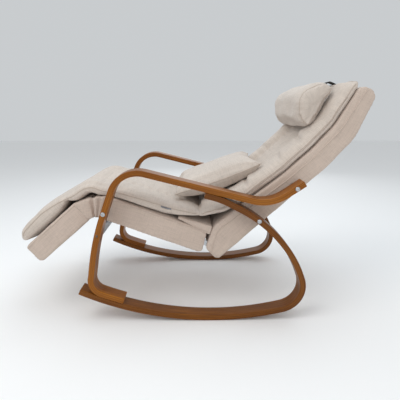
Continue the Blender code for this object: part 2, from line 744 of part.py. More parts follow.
back_rail = stretch(BACK_PATH, RAIL_INSET, path_length(BACK_PATH) - RAIL_INSET)
back_rail_length = path_length(back_rail)
rail_frame(
    "back_rail_frame", back_rail, RAIL_OUTER,
    [
        at_distance(back_rail, BRACKET_HOLD + ROD_SPACE),
        at_distance(back_rail, back_rail_length * 0.5),
        at_distance(back_rail, back_rail_length - ROD_SPACE),
    ],
    [REAR_LEG_BOLT, ARM_BOLT],
)
webbing("back", back_rail, [back_rail_length * share for share in (0.15, 0.34, 0.65, 0.86)], RAIL_OUTER)


# ---------------------------------------------------------------- footrest hinge
def hinge(label, side):
    radius = LEAF_HEIGHT / 2
    pin_hole = PIN_RADIUS + PIN_CLEARANCE
    seat_hold = seat_point(SEAT_START + LEAF_HOLD, SEAT_RISE)
    foot_hold = footrest_point(FOOTREST_START + LEAF_HOLD, FOOTREST_RISE)
    leaves = (
        ("fixed", seat_hold, FIXED_LEAF_INNER, FIXED_LEAF_OUTER),
        ("moving", foot_hold, MOVING_LEAF_INNER, MOVING_LEAF_OUTER),
    )
    for kind, far_end, inner, outer in leaves:
        direction = towards(HINGE_AXIS, far_end)
        strip = [add(HINGE_AXIS, direction, -radius), far_end]
        outline = rounded_outline(ribbon(strip, -radius, radius), [radius * 0.99, 0, 0, radius * 0.99])
        low, high = span(side, inner, outer)
        leaf = plate(f"{label}_hinge_{kind}_leaf", outline, low, high, "steel")
        near, far = low - PIN_HEAD, high + PIN_HEAD
        hole(leaf, f"{label}_{kind}_pin_hole", HINGE_AXIS, pin_hole, near, far)
        if kind == "fixed":
            bolt_hole = BOLT_RADIUS + BOLT_CLEARANCE
            hole(leaf, f"{label}_leaf_bolt_hole", FRONT_BOLT, bolt_hole, near, far)
    head = PIN_RADIUS * 1.7
    thickness = PIN_HEAD
    between = 2 * LEAF_THICKNESS + 3 * SEAT_GAP
    shank_end = thickness + between
    profile = [
        (0, 0),
        (head, 0),
        (head, thickness),
        (PIN_RADIUS, thickness),
        (PIN_RADIUS, shank_end),
        (head, shank_end),
        (head, shank_end + thickness),
        (0, shank_end + thickness),
    ]
    top = FIXED_LEAF_OUTER + SEAT_GAP + thickness
    middle = (HINGE_AXIS[0], side * top, HINGE_AXIS[1])
    turned(f"{label}_hinge_pin", profile, middle, -side, "steel")


for side_label, side_sign in SIDES:
    hinge(side_label, side_sign)


# ---------------------------------------------------------------- brackets from seat to back
def seat_back_brackets():
    seat_hold = seat_point(seat_end - RAIL_INSET - BRACKET_HOLD, SEAT_RISE)
    seat_exit = seat_point(seat_end - 0.012, SEAT_RISE)
    back_entry = at_distance(back_rail, 0.012)
    back_hold = at_distance(back_rail, BRACKET_HOLD)
    path = [seat_hold, seat_exit, back_entry, back_hold]
    half = BRACKET_HEIGHT / 2
    outline = ribbon(path, -half, half)
    slot = ribbon(path, -half - SLOT_CLEARANCE, half + SLOT_CLEARANCE)
    for label, side in SIDES:
        low, high = span(side, FIXED_LEAF_INNER, FIXED_LEAF_OUTER)
        plate(label + "_seat_back_bracket", outline, low, high, "steel")
        for cover in (SEAT_COVER, BACK_COVER):
            near, far = low - SLOT_CLEARANCE, high + SLOT_CLEARANCE
            combine(cover, plate(f"{label}_{cover.name}_slot", slot, near, far), "DIFFERENCE")


seat_back_brackets()


# ---------------------------------------------------------------- fabric between the boxes
def knuckle_sleeve():
    """A soft sleeve over the hinge, open towards both boxes."""
    inset = 0.001
    seat_face = SEAT_START - SEAT_GAP
    foot_face = FOOTREST_START - SEAT_GAP
    seat_base = seat_low + inset
    foot_base = footrest_low + inset
    corners = [
        seat_point(seat_face, seat_base),
        seat_point(seat_face, SEAT_TOP - inset),
        seat_point(SLEEVE_FOLD, SEAT_TOP - SLEEVE_DIP),
        footrest_point(foot_face, FOOTREST_TOP - inset),
        footrest_point(foot_face, foot_base),
    ]
    half = BOX_HALF - SLEEVE_THICKNESS
    outline = rounded_outline(corners, [0, 0, SLEEVE_FOLD_RADIUS, 0, 0])
    made = plate("knuckle_sleeve", outline, -half, half, "linen")
    wall = SLEEVE_THICKNESS
    inner = [
        seat_point(SEAT_START + CUT_PAST, seat_base + wall),
        seat_point(SEAT_START + CUT_PAST, SEAT_TOP - inset - wall),
        seat_point(SLEEVE_FOLD, SEAT_TOP - SLEEVE_DIP - wall),
        footrest_point(FOOTREST_START + CUT_PAST, FOOTREST_TOP - inset - wall),
        footrest_point(FOOTREST_START + CUT_PAST, foot_base + wall),
        seat_point(SEAT_START / 4, seat_base + 2 * wall),
    ]
    half -= wall
    combine(made, plate("knuckle_hollow", inner, -half, half), "DIFFERENCE")


knuckle_sleeve()


def flap():
    """The soft gusset that fills the corner between seat and back, clear of both."""
    lower, upper = offset(BACK_CORNERS, BACK_FRONTS)[:2]
    outwards = left_of(towards(lower, upper))
    corners = [
        seat_point(seat_end - FLAP_LENGTH, SEAT_TOP + FLAP_RISE),
        add(add(lower, towards(lower, upper), FLAP_FOOT), outwards, FLAP_CLEARANCE),
        add(upper, outwards, FLAP_CLEARANCE),
    ]
    half = BOX_HALF - 0.002
    plate("seat_back_flap", rounded_outline(corners, [0.004, 0.004, 0.004]), -half, half, "linen")


flap()


# ---------------------------------------------------------------- cushions and pillows
CUSHION_HALF = CUSHION_WIDTH / 2
lift = CUSHION_LIFT


def cushion(name, corners, radii, half=None, edge=CUSHION_EDGE):
    half = half or CUSHION_HALF
    return plate(name, rounded_outline(corners, radii), -half, half, "linen", edge=edge)


def leg_cushion():
    start, end, height = LEG_CUSHION
    low = FOOTREST_TOP + lift
    corners = [
        footrest_point(start, low),
        footrest_point(end, low),
        footrest_point(end, low + height * 0.7),
        footrest_point(end - height, low + height),
        footrest_point(start, low + height * 0.8),
    ]
    cushion("leg_cushion", corners, [0.008, 0.020, 0.020, 0.080, 0.020])


def knee_cushion():
    """The part of the long cushion that bends over the hinge."""
    seat_base = SEAT_TOP + lift
    foot_base = FOOTREST_TOP + lift
    height = KNEE_CUSHION_HEIGHT
    crown = FOOTREST_START - CUT_PAST
    end = LEG_CUSHION[0] - CUSHION_JOIN
    corners = [
        seat_point(SEAT_CUSHION_START - CUSHION_JOIN, seat_base),
        seat_point(SEAT_CUSHION_START - CUSHION_JOIN, seat_base + height),
        footrest_point(crown, FOOTREST_TOP + height),
        footrest_point(end, FOOTREST_TOP + height * 0.8),
        footrest_point(end, foot_base),
        footrest_point(crown, foot_base),
    ]
    radii = [0.008, 0.012, 0.030, 0.014, 0.010, 0.040]
    cushion("knee_cushion", corners, radii, edge=KNEE_CUSHION_EDGE)


def seat_cushion():
    low = SEAT_TOP + lift
    start, end, height = SEAT_CUSHION_START, SEAT_CUSHION_END, SEAT_CUSHION_HEIGHT
    corners = [
        seat_point(start, low),
        seat_point(end * 0.72, low),
        seat_point(end, low + height * 0.45),
        seat_point(end * 0.98, low + height * 0.85),
        seat_point(end * 0.85, low + height),
        seat_point(start, low + height),
    ]
    cushion("seat_cushion", corners, [0.006, 0.060, 0.012, 0.012, 0.060, 0.010])


leg_cushion()
knee_cushion()
seat_cushion()

HEAD_END = add(back_top, HEAD_DIRECTION, BACK_CUSHION_OVERHANG)


def back_cushion():
    spine = [ARM_BOLT, back_bend, back_head, HEAD_END]
    fronts = [BACK_FRONT, BACK_FRONT, BACK_FRONT, BACK_FRONT_TOP]
    under = offset(spine, [front + lift for front in fronts])
    over = offset(spine, [front + lift + BACK_CUSHION_HEIGHT for front in fronts])
    low_front = add(BACK_CUSHION_LAP, left_of(LOWER_DIRECTION), BACK_CUSHION_HEIGHT * 0.85)
    fold_front = add(BACK_CUSHION_FOLD, left_of(LOWER_DIRECTION), BACK_CUSHION_HEIGHT * 0.8)
    corners = [BACK_CUSHION_FOLD, BACK_CUSHION_LAP, *under, *over[::-1], low_front, fold_front]
    radii = [0.008, 0.10, 0.3, 0.4, 0.2, 0.012, 0.022, 0.12, 0.4, 0.3, 0.10, 0.02]
    return cushion("back_cushion", corners, radii)


back_cushion()


def throw_pillow():
    """A square pillow, thick in the middle and thin at its edges."""
    half = PILLOW_LENGTH / 2
    count = 16
    along = heading(PILLOW_ANGLE)
    base = [add(PILLOW_CENTRE, along, -half * cos(pi * k / count)) for k in range(count + 1)]
    round_off = [sin(pi * k / count) ** 0.8 for k in range(count + 1)]
    bulge = [max(PILLOW_RIM, PILLOW_THICKNESS / 2 * share) for share in round_off]
    upper = [add(point, left_of(along), rise) for point, rise in zip(base, bulge)]
    lower = [add(point, left_of(along), -rise) for point, rise in zip(base, bulge)]
    wide = PILLOW_WIDTH / 2
    return plate("throw_pillow", lower + upper[::-1], -wide, wide, "linen", edge=PILLOW_EDGE)


throw_pillow()


def neck_pillow():
    """A soft wedge that rests on the cushion below the head end."""
    above = BACK_FRONT + lift + BACK_CUSHION_HEIGHT - NECK_SETTLE
    rest = offset([back_bend, back_head, back_top], above)
    low = add(rest[1], towards(rest[1], rest[0]), 0.055)
    high = add(rest[1], HEAD_DIRECTION, 0.112)
    corners = [
        low,
        high,
        add(high, left_of(HEAD_DIRECTION), 0.040),
        add(add(high, left_of(HEAD_DIRECTION), 0.112), HEAD_DIRECTION, -0.062),
        add(add(low, left_of(LOWER_DIRECTION), 0.052), LOWER_DIRECTION, 0.010),
    ]
    half = NECK_WIDTH / 2
    cushion("neck_pillow", corners, [0.008, 0.010, 0.024, 0.050, 0.020], half, NECK_EDGE)
    return high


neck_top = neck_pillow()


def neck_strap():
    """A band from the neck pillow over the head end, with a weighted pouch behind the back."""
    behind = BACK_BEHIND + SEAT_GAP + REST_GAP
    forwards = left_of(HEAD_DIRECTION)
    cushion_top = add(HEAD_END, forwards, BACK_FRONT_TOP + lift + BACK_CUSHION_HEIGHT * 0.4)
    start = add(add(neck_top, forwards, STRAP_FOOT), HEAD_DIRECTION, REST_GAP)
    over_cushion = add(cushion_top, HEAD_DIRECTION, REST_GAP)
    over_start = add(over_cushion, forwards, BACK_CUSHION_HEIGHT * 0.8)
    rear = add(back_top, forwards, -behind)
    over_back = add(rear, HEAD_DIRECTION, BACK_CUSHION_OVERHANG + REST_GAP)
    strap_end = add(rear, HEAD_DIRECTION, -STRAP_DROP)
    pouch_top = add(strap_end, HEAD_DIRECTION, -SEAT_GAP)
    path = rounded_path([start, over_start, over_back, strap_end], [0.010, 0.016])
    half = STRAP_WIDTH / 2
    plate("neck_strap", ribbon(path, 0, STRAP_THICKNESS), -half, half, "webbing")
    pouch = [pouch_top, add(pouch_top, HEAD_DIRECTION, -WEIGHT_LENGTH)]
    half = WEIGHT_WIDTH / 2
    outline = rounded_outline(ribbon(pouch, 0, WEIGHT_THICKNESS), [0, WEIGHT_CORNER, WEIGHT_CORNER, 0])
    plate("neck_counterweight", outline, -half, half, "lining")


neck_strap()


def label_tab():
    length, height, thickness = TAB_SIZE
    low = SEAT_TOP + lift + SEAT_CUSHION_HEIGHT * 0.38
    start = TAB_ALONG
    corners = [
        seat_point(start, low), seat_point(start + length, low),
        seat_point(start + length, low + height), seat_point(start, low + height),
    ]
    inner = -CUSHION_HALF - SEAT_GAP
    plate("label_tab", corners, inner - thickness, inner, "lining")


label_tab()
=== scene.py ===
import math
from math import atan2, ceil, cos, hypot, pi, radians, sin, tan
import bpy
import bmesh
import numpy as np
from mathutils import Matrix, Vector, noise
from mathutils.kdtree import KDTree


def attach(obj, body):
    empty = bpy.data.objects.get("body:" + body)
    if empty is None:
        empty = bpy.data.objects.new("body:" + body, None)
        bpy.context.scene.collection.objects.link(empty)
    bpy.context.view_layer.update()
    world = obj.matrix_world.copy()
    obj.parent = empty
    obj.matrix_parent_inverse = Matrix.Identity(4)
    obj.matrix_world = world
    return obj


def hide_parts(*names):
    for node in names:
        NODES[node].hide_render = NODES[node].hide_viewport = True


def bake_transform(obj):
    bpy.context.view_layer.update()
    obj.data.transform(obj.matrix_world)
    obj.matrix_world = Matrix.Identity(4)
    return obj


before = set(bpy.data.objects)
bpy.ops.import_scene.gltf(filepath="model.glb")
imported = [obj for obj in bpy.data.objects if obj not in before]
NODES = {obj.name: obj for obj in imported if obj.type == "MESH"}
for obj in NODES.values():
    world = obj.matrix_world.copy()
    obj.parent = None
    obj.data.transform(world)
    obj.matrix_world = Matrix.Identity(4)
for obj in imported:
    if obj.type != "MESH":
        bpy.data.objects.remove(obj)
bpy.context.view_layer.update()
SIDES = (("left", -1), ("right", 1))


# ---------------------------------------------------------------- side-view geometry
def add(p, d, k):
    return (p[0] + d[0] * k, p[1] + d[1] * k)


def towards(a, b):
    n = hypot(b[0] - a[0], b[1] - a[1])
    return ((b[0] - a[0]) / n, (b[1] - a[1]) / n)


def heading(a):
    return (cos(a), sin(a))


def left_of(d):
    return (-d[1], d[0])


def fillet(before, corner, after, radius, step=radians(3.5)):
    a, b = towards(before, corner), towards(corner, after)
    turn = atan2(a[0] * b[1] - a[1] * b[0], a[0] * b[0] + a[1] * b[1])
    if radius <= 0 or abs(turn) < radians(0.5):
        return [corner]
    side = 1 if turn > 0 else -1
    start = add(corner, a, -radius * tan(abs(turn) / 2))
    centre = add(start, left_of(a), side * radius)
    steps = max(3, ceil(abs(turn) / step), ceil(abs(turn) * radius / 0.02))
    first = atan2(start[1] - centre[1], start[0] - centre[0])
    return [add(centre, heading(first + turn * k / steps), radius) for k in range(steps + 1)]


def rounded_path(corners, radii):
    points = [corners[0]]
    for k, radius in enumerate(radii, start=1):
        points += fillet(corners[k - 1], corners[k], corners[k + 1], radius)
    points.append(corners[-1])
    kept = [points[0]]
    for p in points[1:]:
        if hypot(p[0] - kept[-1][0], p[1] - kept[-1][1]) > 0.0003:
            kept.append(p)
    return kept


def rounded_outline(corners, radii):
    points = []
    n = len(corners)
    for k, radius in enumerate(radii):
        points += fillet(corners[k - 1], corners[k], corners[(k + 1) % n], radius)
    return points


def offset(points, d):
    d = d if isinstance(d, (list, tuple)) else [d] * len(points)
    moved = []
    for k, p in enumerate(points):
        a = towards(points[k - 1], p) if k else towards(p, points[1])
        b = towards(p, points[k + 1]) if k + 1 < len(points) else a
        across = left_of(towards((0, 0), (a[0] + b[0], a[1] + b[1])))
        mitre = across[0] * left_of(a)[0] + across[1] * left_of(a)[1]
        moved.append(add(p, across, d[k] / mitre))
    return moved


def resample(points, step):
    p = np.array(points, float)
    seg = np.hypot(*np.diff(p, axis=0).T)
    s = np.concatenate([[0], np.cumsum(seg)])
    n = max(2, int(round(s[-1] / step)) + 1)
    t = np.linspace(0, s[-1], n)
    return np.stack([np.interp(t, s, p[:, k]) for k in range(p.shape[1])], 1)


class Spine:
    """A path in the side view, with distances along it and heights to its left."""

    def __init__(self, points):
        self.p = np.array(points, float)
        d = np.diff(self.p, axis=0)
        self.len = np.hypot(*d.T)
        self.s = np.concatenate([[0], np.cumsum(self.len)])
        self.d = d / self.len[:, None]
        mid = (self.d[1:] + self.d[:-1]) / 2
        t = np.vstack([self.d[:1], mid, self.d[-1:]])
        self.t = t / np.linalg.norm(t, axis=1)[:, None]

    def at(self, s, h=0.0):
        x = np.interp(s, self.s, self.p[:, 0])
        z = np.interp(s, self.s, self.p[:, 1])
        tx = np.interp(s, self.s, self.t[:, 0])
        tz = np.interp(s, self.s, self.t[:, 1])
        n = np.hypot(tx, tz)
        return x - tz / n * h, z + tx / n * h

    def locate(self, x, z):
        """(distance along, height) of each point."""
        q = np.stack([x, z], 1)
        best = np.full(len(q), 1e9)
        s = np.zeros(len(q))
        h = np.zeros(len(q))
        for k in range(len(self.len)):
            r = q - self.p[k]
            u = r @ self.d[k]
            if k > 0:
                u = np.maximum(u, 0)
            if k + 1 < len(self.len):
                u = np.minimum(u, self.len[k])
            e = r - u[:, None] * self.d[k]
            dist = (e ** 2).sum(1)
            near = dist < best
            best[near] = dist[near]
            s[near] = self.s[k] + u[near]
            side = e @ np.array(left_of(self.d[k]))
            h[near] = np.where(side < 0, -1, 1)[near] * np.sqrt(dist[near])
        return s, h


# ---------------------------------------------------------------- the chair's own lines
HINGE = (-0.392, 0.430)
SEAT_DIR = heading(-radians(20.3))
FOOT_DIR = heading(pi + radians(41))
SEAT_TOP, SEAT_LOW = 0.07003, -0.02397
FOOT_TOP, FOOT_LOW = 0.066, -0.021
SEAT_SPAN = (0.0395, 0.4475)
FOOT_SPAN = (0.035, 0.306)
BOX_HALF = 0.2539
FRAME_OUTER, FRAME_INNER = 0.330, 0.268
HALF = 0.011
ROCKER_CENTRE, ROCKER_R = (0.065, 1.2), 1.2
ARM_FRONT, ARM_DIP, ARM_END = (-0.2696, 0.6024), (0.2774, 0.4629), (0.398, 0.5439)
ARM_BOLT, REAR_BOLT = (0.37, 0.525094), (0.237, 0.404174)
FRONT_BOLT, SCREW = (-0.333723, 0.433), (-0.361215, 0.35)


def seat_point(s, h):
    return add(add(HINGE, SEAT_DIR, s), left_of(SEAT_DIR), h)


def foot_point(f, h):
    return add(add(HINGE, FOOT_DIR, f), left_of(FOOT_DIR), -h)


def on_rocker(radius, reach):
    a = math.asin(reach / ROCKER_R)
    return add(ROCKER_CENTRE, (sin(a), -cos(a)), radius), (cos(a), sin(a))


def arm_path():
    radius = ROCKER_R - 3 * HALF - 0.0003
    touch, back = on_rocker(radius, -0.440)
    bow = (-0.3701, 0.3369)
    tangent = 0.055
    for _ in range(12):
        bend = add(touch, back, -tangent)
        down = towards(bow, bend)
        cross = down[0] * back[1] - down[1] * back[0]
        tangent = 0.055 * tan(abs(atan2(cross, down[0] * back[0] + down[1] * back[1])) / 2)
    upper = rounded_path([ARM_END, ARM_DIP, ARM_FRONT, bow, bend, touch], [0.150, 0.103, 1.0, 0.055])
    return upper + [on_rocker(radius, -v)[0] for v in (0.425, 0.41, 0.38, 0.35)]


def rocker_path():
    arm = towards(ARM_FRONT, ARM_DIP)
    below = offset([ARM_FRONT, ARM_DIP], -2 * HALF - 0.0003)[0]
    lap = [add(below, arm, (x - below[0]) / arm[0]) for x in (0.037, 0.0937)]
    radius = ROCKER_R - HALF
    rear, back = on_rocker(radius, 0.275)
    arc = [on_rocker(radius, 0.275 - 0.788 * k / 44)[0] for k in range(1, 45)]
    corners = [*lap, (0.2582, 0.4004), (0.3806, 0.2537), add(rear, back, 0.112), rear]
    return rounded_path(corners, [0.316, 0.50, 0.447, 0.096]) + arc


LOWER_DIR = towards(REAR_BOLT, ARM_BOLT)
LOWER_ANGLE = atan2(LOWER_DIR[1], LOWER_DIR[0])
BACK_START = add(REAR_BOLT, LOWER_DIR, -0.235)
BACK_BELLY = add(REAR_BOLT, LOWER_DIR, -0.235 * 0.65)
BACK_BEND = add(ARM_BOLT, LOWER_DIR, 0.140)
BACK_HEAD = add(BACK_BEND, heading(LOWER_ANGLE + radians(5.6)), 0.135)
HEAD_DIR = heading(LOWER_ANGLE + radians(25.3))
BACK_TOP = add(BACK_HEAD, HEAD_DIR, 0.172)
BACK_CORNERS = [BACK_START, BACK_BELLY, REAR_BOLT, ARM_BOLT, BACK_BEND, BACK_HEAD, BACK_TOP]
BACK_FRONTS = [0.032, 0.080, 0.068, 0.053, 0.053, 0.053, 0.033]
BACK_LINE = rounded_path([BACK_START, BACK_BEND, BACK_HEAD, BACK_TOP], [0.60, 0.16])
BACK_SPINE = Spine(BACK_LINE)


# ---------------------------------------------------------------- materials
class Graph:
    """Short calls for building a node material."""

    def __init__(self, name):
        self.mat = bpy.data.materials.new(name)
        self.mat.use_nodes = True
        self.tree = self.mat.node_tree
        self.bsdf = self.tree.nodes["Principled BSDF"]

    def node(self, kind, **values):
        made = self.tree.nodes.new("ShaderNode" + kind)
        for key, value in values.items():
            if hasattr(made, key):
                setattr(made, key, value)
            else:
                self.put(made, key, value)
        return made

    def put(self, node, key, value):
        socket = node.inputs[int(key[1:])] if key[0] == "i" and key[1:].isdigit() else node.inputs[key]
        if isinstance(value, bpy.types.NodeSocket):
            self.tree.links.new(value, socket)
        elif isinstance(value, bpy.types.Node):
            self.tree.links.new(value.outputs[0], socket)
        else:
            socket.default_value = value

    def math(self, op, a, b=0.0, c=0.0):
        return self.node("Math", operation=op, i0=a, i1=b, i2=c)

    def scaled(self, source, scale, shift=(0, 0, 0)):
        made = self.node("Mapping", i0=source)
        made.inputs["Scale"].default_value = scale
        made.inputs["Location"].default_value = shift
        return made

    def noise(self, vector, scale=1.0, detail=3.0, rough=0.5):
        return self.node("TexNoise", Vector=vector, Scale=scale, Detail=detail, Roughness=rough)

    def ramp(self, factor, stops):
        made = self.node("ValToRGB", i0=factor)
        ramp = made.color_ramp
        while len(ramp.elements) < len(stops):
            ramp.elements.new(0.5)
        for element, (place, colour) in zip(ramp.elements, stops):
            element.position = place
            element.color = (*colour, 1.0) if len(colour) == 3 else colour
        return made

    def mix(self, factor, a, b, blend="MIX"):
        made = self.node("Mix", data_type="RGBA", blend_type=blend)
        for key, value in (("i0", factor), ("i6", a), ("i7", b)):
            value = (*value, 1.0) if isinstance(value, tuple) and len(value) == 3 else value
            self.put(made, key, value)
        return made.outputs[2]

    def bump(self, height, strength, distance, under=None):
        made = self.node("Bump", Strength=strength, Distance=distance, Height=height)
        if under is not None:
            self.put(made, "Normal", under)
        return made

    def shade(self, **values):
        for key, value in values.items():
            self.put(self.bsdf, key.replace("_", " "), value)
        return self.mat


def linen(name, tone=(1.0, 1.0, 1.0), contrast=1.0, roll=0.0):
    """Plain-woven linen with slubs; its threads follow the piece's own length and width."""
    g = Graph(name)
    place = g.node("Attribute", attribute_name="cloth").outputs["Vector"]
    along = g.noise(g.scaled(place, (26, 330, 330), (roll, 0, 0)), detail=3, rough=0.6)
    across = g.noise(g.scaled(place, (330, 24, 24), (0, roll, 0)), detail=3, rough=0.6)
    grain = g.noise(g.scaled(place, (1, 1, 1), (roll, roll, 0)), scale=900, detail=2)
    patch = g.noise(g.scaled(place, (1, 1, 1), (0, 0, roll)), scale=9, detail=4, rough=0.55)
    threads = g.math("ADD", g.math("MULTIPLY", along, 0.52), g.math("MULTIPLY", across, 0.48))
    fine = g.math("ADD", g.math("MULTIPLY", threads, 0.78), g.math("MULTIPLY", grain, 0.22))
    k = 0.055 * contrast
    mid = (0.585 * tone[0], 0.505 * tone[1], 0.435 * tone[2])
    dark = tuple(c * (1 - 3.6 * k) for c in mid)
    light = tuple(min(1, c * (1 + 2.2 * k)) for c in mid)
    base = g.ramp(fine, [(0.34, dark), (0.52, mid), (0.70, light)])
    worn = g.ramp(patch, [(0.32, (0.93, 0.925, 0.92)), (0.68, (1.04, 1.04, 1.04))])
    colour = g.mix(0.55, base, worn, "MULTIPLY")
    s = g.node("SeparateXYZ", i0=place)
    warp = g.math("SINE", g.math("MULTIPLY", s.outputs[0], 2 * pi / 0.0019))
    weft = g.math("SINE", g.math("MULTIPLY", g.math("ADD", s.outputs[1], s.outputs[2]), 2 * pi / 0.0019))
    weave = g.math("MULTIPLY", warp, weft)
    height = g.math("ADD", g.math("MULTIPLY", weave, 0.18), fine)
    soft = g.bump(patch, 0.35, 0.004)
    return g.shade(
        Base_Color=colour, Roughness=0.92, Sheen_Weight=0.22, Sheen_Roughness=0.55,
        Specular_IOR_Level=0.25, Normal=g.bump(height, 0.55, 0.0011, soft),
    )


PLY = 0.00366


def wood(name, dark, mid, light, roll):
    """Lacquered bent plywood: grain along the strip, ply lines on its edges."""
    g = Graph(name)
    place = g.node("Attribute", attribute_name="strip").outputs["Vector"]
    s = g.node("SeparateXYZ", i0=place)
    normal = g.node("SeparateXYZ", i0=g.node("NewGeometry").outputs["Normal"])
    side = g.node("MapRange", i0=g.math("ABSOLUTE", normal.outputs[1]), i1=0.55, i2=0.85)
    warp = g.noise(g.scaled(place, (5, 60, 18), (roll, 0, 0)), detail=2)
    streak = g.noise(g.scaled(place, (7, 900, 210), (roll, 0, 0)), detail=5, rough=0.62)
    pore = g.noise(g.scaled(place, (32, 2600, 900), (roll, roll, 0)), detail=2, rough=0.7)
    broad = g.noise(g.scaled(place, (2.2, 18, 26), (roll, 0, roll)), detail=3)
    tone = g.math("ADD", g.math("MULTIPLY", streak, 0.62), g.math("MULTIPLY", broad, 0.38))
    colour = g.ramp(tone, [(0.33, dark), (0.50, mid), (0.66, light)])
    # ply lines, one every PLY through the thickness
    wobble = g.math("MULTIPLY", g.math("SUBTRACT", warp, 0.5), 0.00045)
    layer = g.math("DIVIDE", g.math("ADD", s.outputs[1], wobble), PLY)
    edge = g.math("ABSOLUTE", g.math("SUBTRACT", g.math("FRACT", layer), 0.5))
    line = g.node("MapRange", i0=edge, i1=0.36, i2=0.47)
    odd = g.noise(g.scaled(place, (0.6, 420, 0), (roll, 0, 0)), detail=0)
    ply = g.math("MULTIPLY", g.math("MULTIPLY", line, side), g.math("MULTIPLY_ADD", odd, 1.3, 0.05))
    lined = g.mix(g.math("MULTIPLY", ply, 0.85), colour, tuple(c * 0.30 for c in dark))
    band = g.ramp(g.math("FRACT", g.math("MULTIPLY", layer, 0.5)),
        [(0.46, (1.1, 1.08, 1.02)), (0.54, (0.86, 0.84, 0.82))])
    sided = g.mix(g.math("MULTIPLY", side, 0.75), lined, g.mix(1.0, lined, band, "MULTIPLY"))
    pored = g.mix(g.node("MapRange", i0=pore, i1=0.62, i2=0.75, i3=0.0, i4=0.35), sided,
        tuple(c * 0.45 for c in dark))
    height = g.math("SUBTRACT", g.math("MULTIPLY", streak, 0.35), g.math("MULTIPLY", ply, 0.9))
    rough = g.node("MapRange", i0=streak, i1=0.3, i2=0.7, i3=0.30, i4=0.44)
    return g.shade(
        Base_Color=pored, Roughness=rough.outputs[0], Coat_Weight=0.05, Coat_Roughness=0.22,
        Specular_IOR_Level=0.18, Normal=g.bump(height, 0.22, 0.0006),
    )


def metal(name, colour, rough, metallic=1.0, scratch=0.12):
    g = Graph(name)
    place = g.node("TexCoord").outputs["Object"]
    fine = g.noise(g.scaled(place, (60, 60, 900)), detail=4)
    spots = g.noise(place, scale=140, detail=3)
    shade = g.ramp(spots, [(0.3, tuple(c * 0.86 for c in colour)), (0.7, colour)])
    return g.shade(
        Base_Color=shade, Metallic=metallic, Normal=g.bump(fine, scratch, 0.0003),
        Roughness=g.node("MapRange", i0=spots, i1=0.3, i2=0.7, i3=rough * 0.8, i4=rough * 1.25).outputs[0],
    )


def dark_cloth(name, colour, pitch=0.0024, rough=0.85):
    g = Graph(name)
    place = g.node("TexCoord").outputs["Object"]
    s = g.node("SeparateXYZ", i0=place)
    a = g.math("SINE", g.math("MULTIPLY", s.outputs[1], 2 * pi / pitch))
    b = g.math("SINE", g.math("MULTIPLY", g.math("ADD", s.outputs[0], s.outputs[2]), 2 * pi / pitch))
    weave = g.math("MULTIPLY", a, b)
    mottle = g.noise(place, scale=45, detail=4)
    colour_2 = tuple(min(1, c * 1.8 + 0.01) for c in colour)
    shade = g.ramp(g.math("MULTIPLY_ADD", weave, 0.22, mottle), [(0.3, colour), (0.85, colour_2)])
    return g.shade(
        Base_Color=shade, Roughness=rough, Sheen_Weight=0.12, Normal=g.bump(weave, 0.5, 0.0008)
    )


# The box linen is a warmer, darker copy of the cushion linen: painted shade with a warm tint on the box's
# side panels.
LINEN_BOX_SHADED = linen("linen_box_painted_shade", (0.99, 0.94, 0.93), 1.0, 0.0)
LINEN_CUSHION = linen("linen_cushion", (1.03, 1.04, 1.06), 1.0, 3.1)
LINEN_PILLOW = linen("linen_pillow", (1.03, 1.05, 1.08), 1.1, 7.7)
SEAM = linen("linen_seam", (0.80, 0.765, 0.74), 0.7, 1.3)
STITCH = linen("linen_stitch", (0.66, 0.62, 0.60), 0.5, 5.3)
WOOD_ARM = wood("wood_arm", (0.105, 0.030, 0.003), (0.240, 0.076, 0.007), (0.380, 0.142, 0.015), 0.0)
# The rocker wood is the arm wood made darker: painted shade on the low strips under the seat.
WOOD_ROCKER_SHADED = wood("wood_rocker_painted_shade", (0.075, 0.023, 0.003), (0.165, 0.053, 0.006), (0.260, 0.094, 0.012), 4.0)
STEEL = metal("bright_steel", (0.52, 0.53, 0.55), 0.30)
PLATED = metal("dark_screw", (0.16, 0.13, 0.11), 0.4)
BLACK = metal("black_frame", (0.025, 0.026, 0.028), 0.5, 0.0, 0.2)
GREY = metal("grey_frame", (0.30, 0.31, 0.33), 0.42, 0.0, 0.2)
WEBBING = dark_cloth("black_webbing", (0.012, 0.011, 0.011))
LINING = dark_cloth("dark_lining", (0.030, 0.028, 0.028), 0.0017)
TAB = dark_cloth("grey_tab", (0.16, 0.16, 0.17), 0.0012)


# ---------------------------------------------------------------- mesh helpers
def new_piece(name, verts, faces, material, smooth=True):
    mesh = bpy.data.meshes.new(name)
    mesh.from_pydata([tuple(v) for v in verts], [], faces)
    work = bmesh.new()
    work.from_mesh(mesh)
    bmesh.ops.recalc_face_normals(work, faces=work.faces)
    work.to_mesh(mesh)
    work.free()
    mesh.polygons.foreach_set("use_smooth", [smooth] * len(mesh.polygons))
    piece = bpy.data.objects.new(name, mesh)
    bpy.context.scene.collection.objects.link(piece)
    mesh.materials.append(material)
    return piece


def grid_faces(rings, points, closed=True):
    faces = []
    for r in range(rings - 1):
        for k in range(points if closed else points - 1):
            a, b = r * points + k, r * points + (k + 1) % points
            faces.append((a, b, b + points, a + points))
    return faces


def capped(rows, m):
    """Faces of a tube of rows rings with m points each, with both ends closed."""
    return grid_faces(rows, m) + [tuple(range(m)), tuple((rows - 1) * m + k for k in range(m))]


def two_layers(n, m):
    """Faces that close two n by m grids of points into one sheet, and its rim's points in order."""
    count = n * m
    faces = grid_faces(n, m, False)
    faces += [tuple(count + k for k in f[::-1]) for f in grid_faces(n, m, False)]
    rim = list(range(m - 1)) + [k * m + m - 1 for k in range(n - 1)]
    rim += [(n - 1) * m + j for j in range(m - 1, 0, -1)] + [k * m for k in range(n - 1, 0, -1)]
    faces += [(a, b, count + b, count + a) for a, b in zip(rim, rim[1:] + rim[:1])]
    return faces, rim


def coords(piece):
    co = np.empty(len(piece.data.vertices) * 3, np.float32)
    piece.data.vertices.foreach_get("co", co)
    return co.reshape(-1, 3).astype(float)


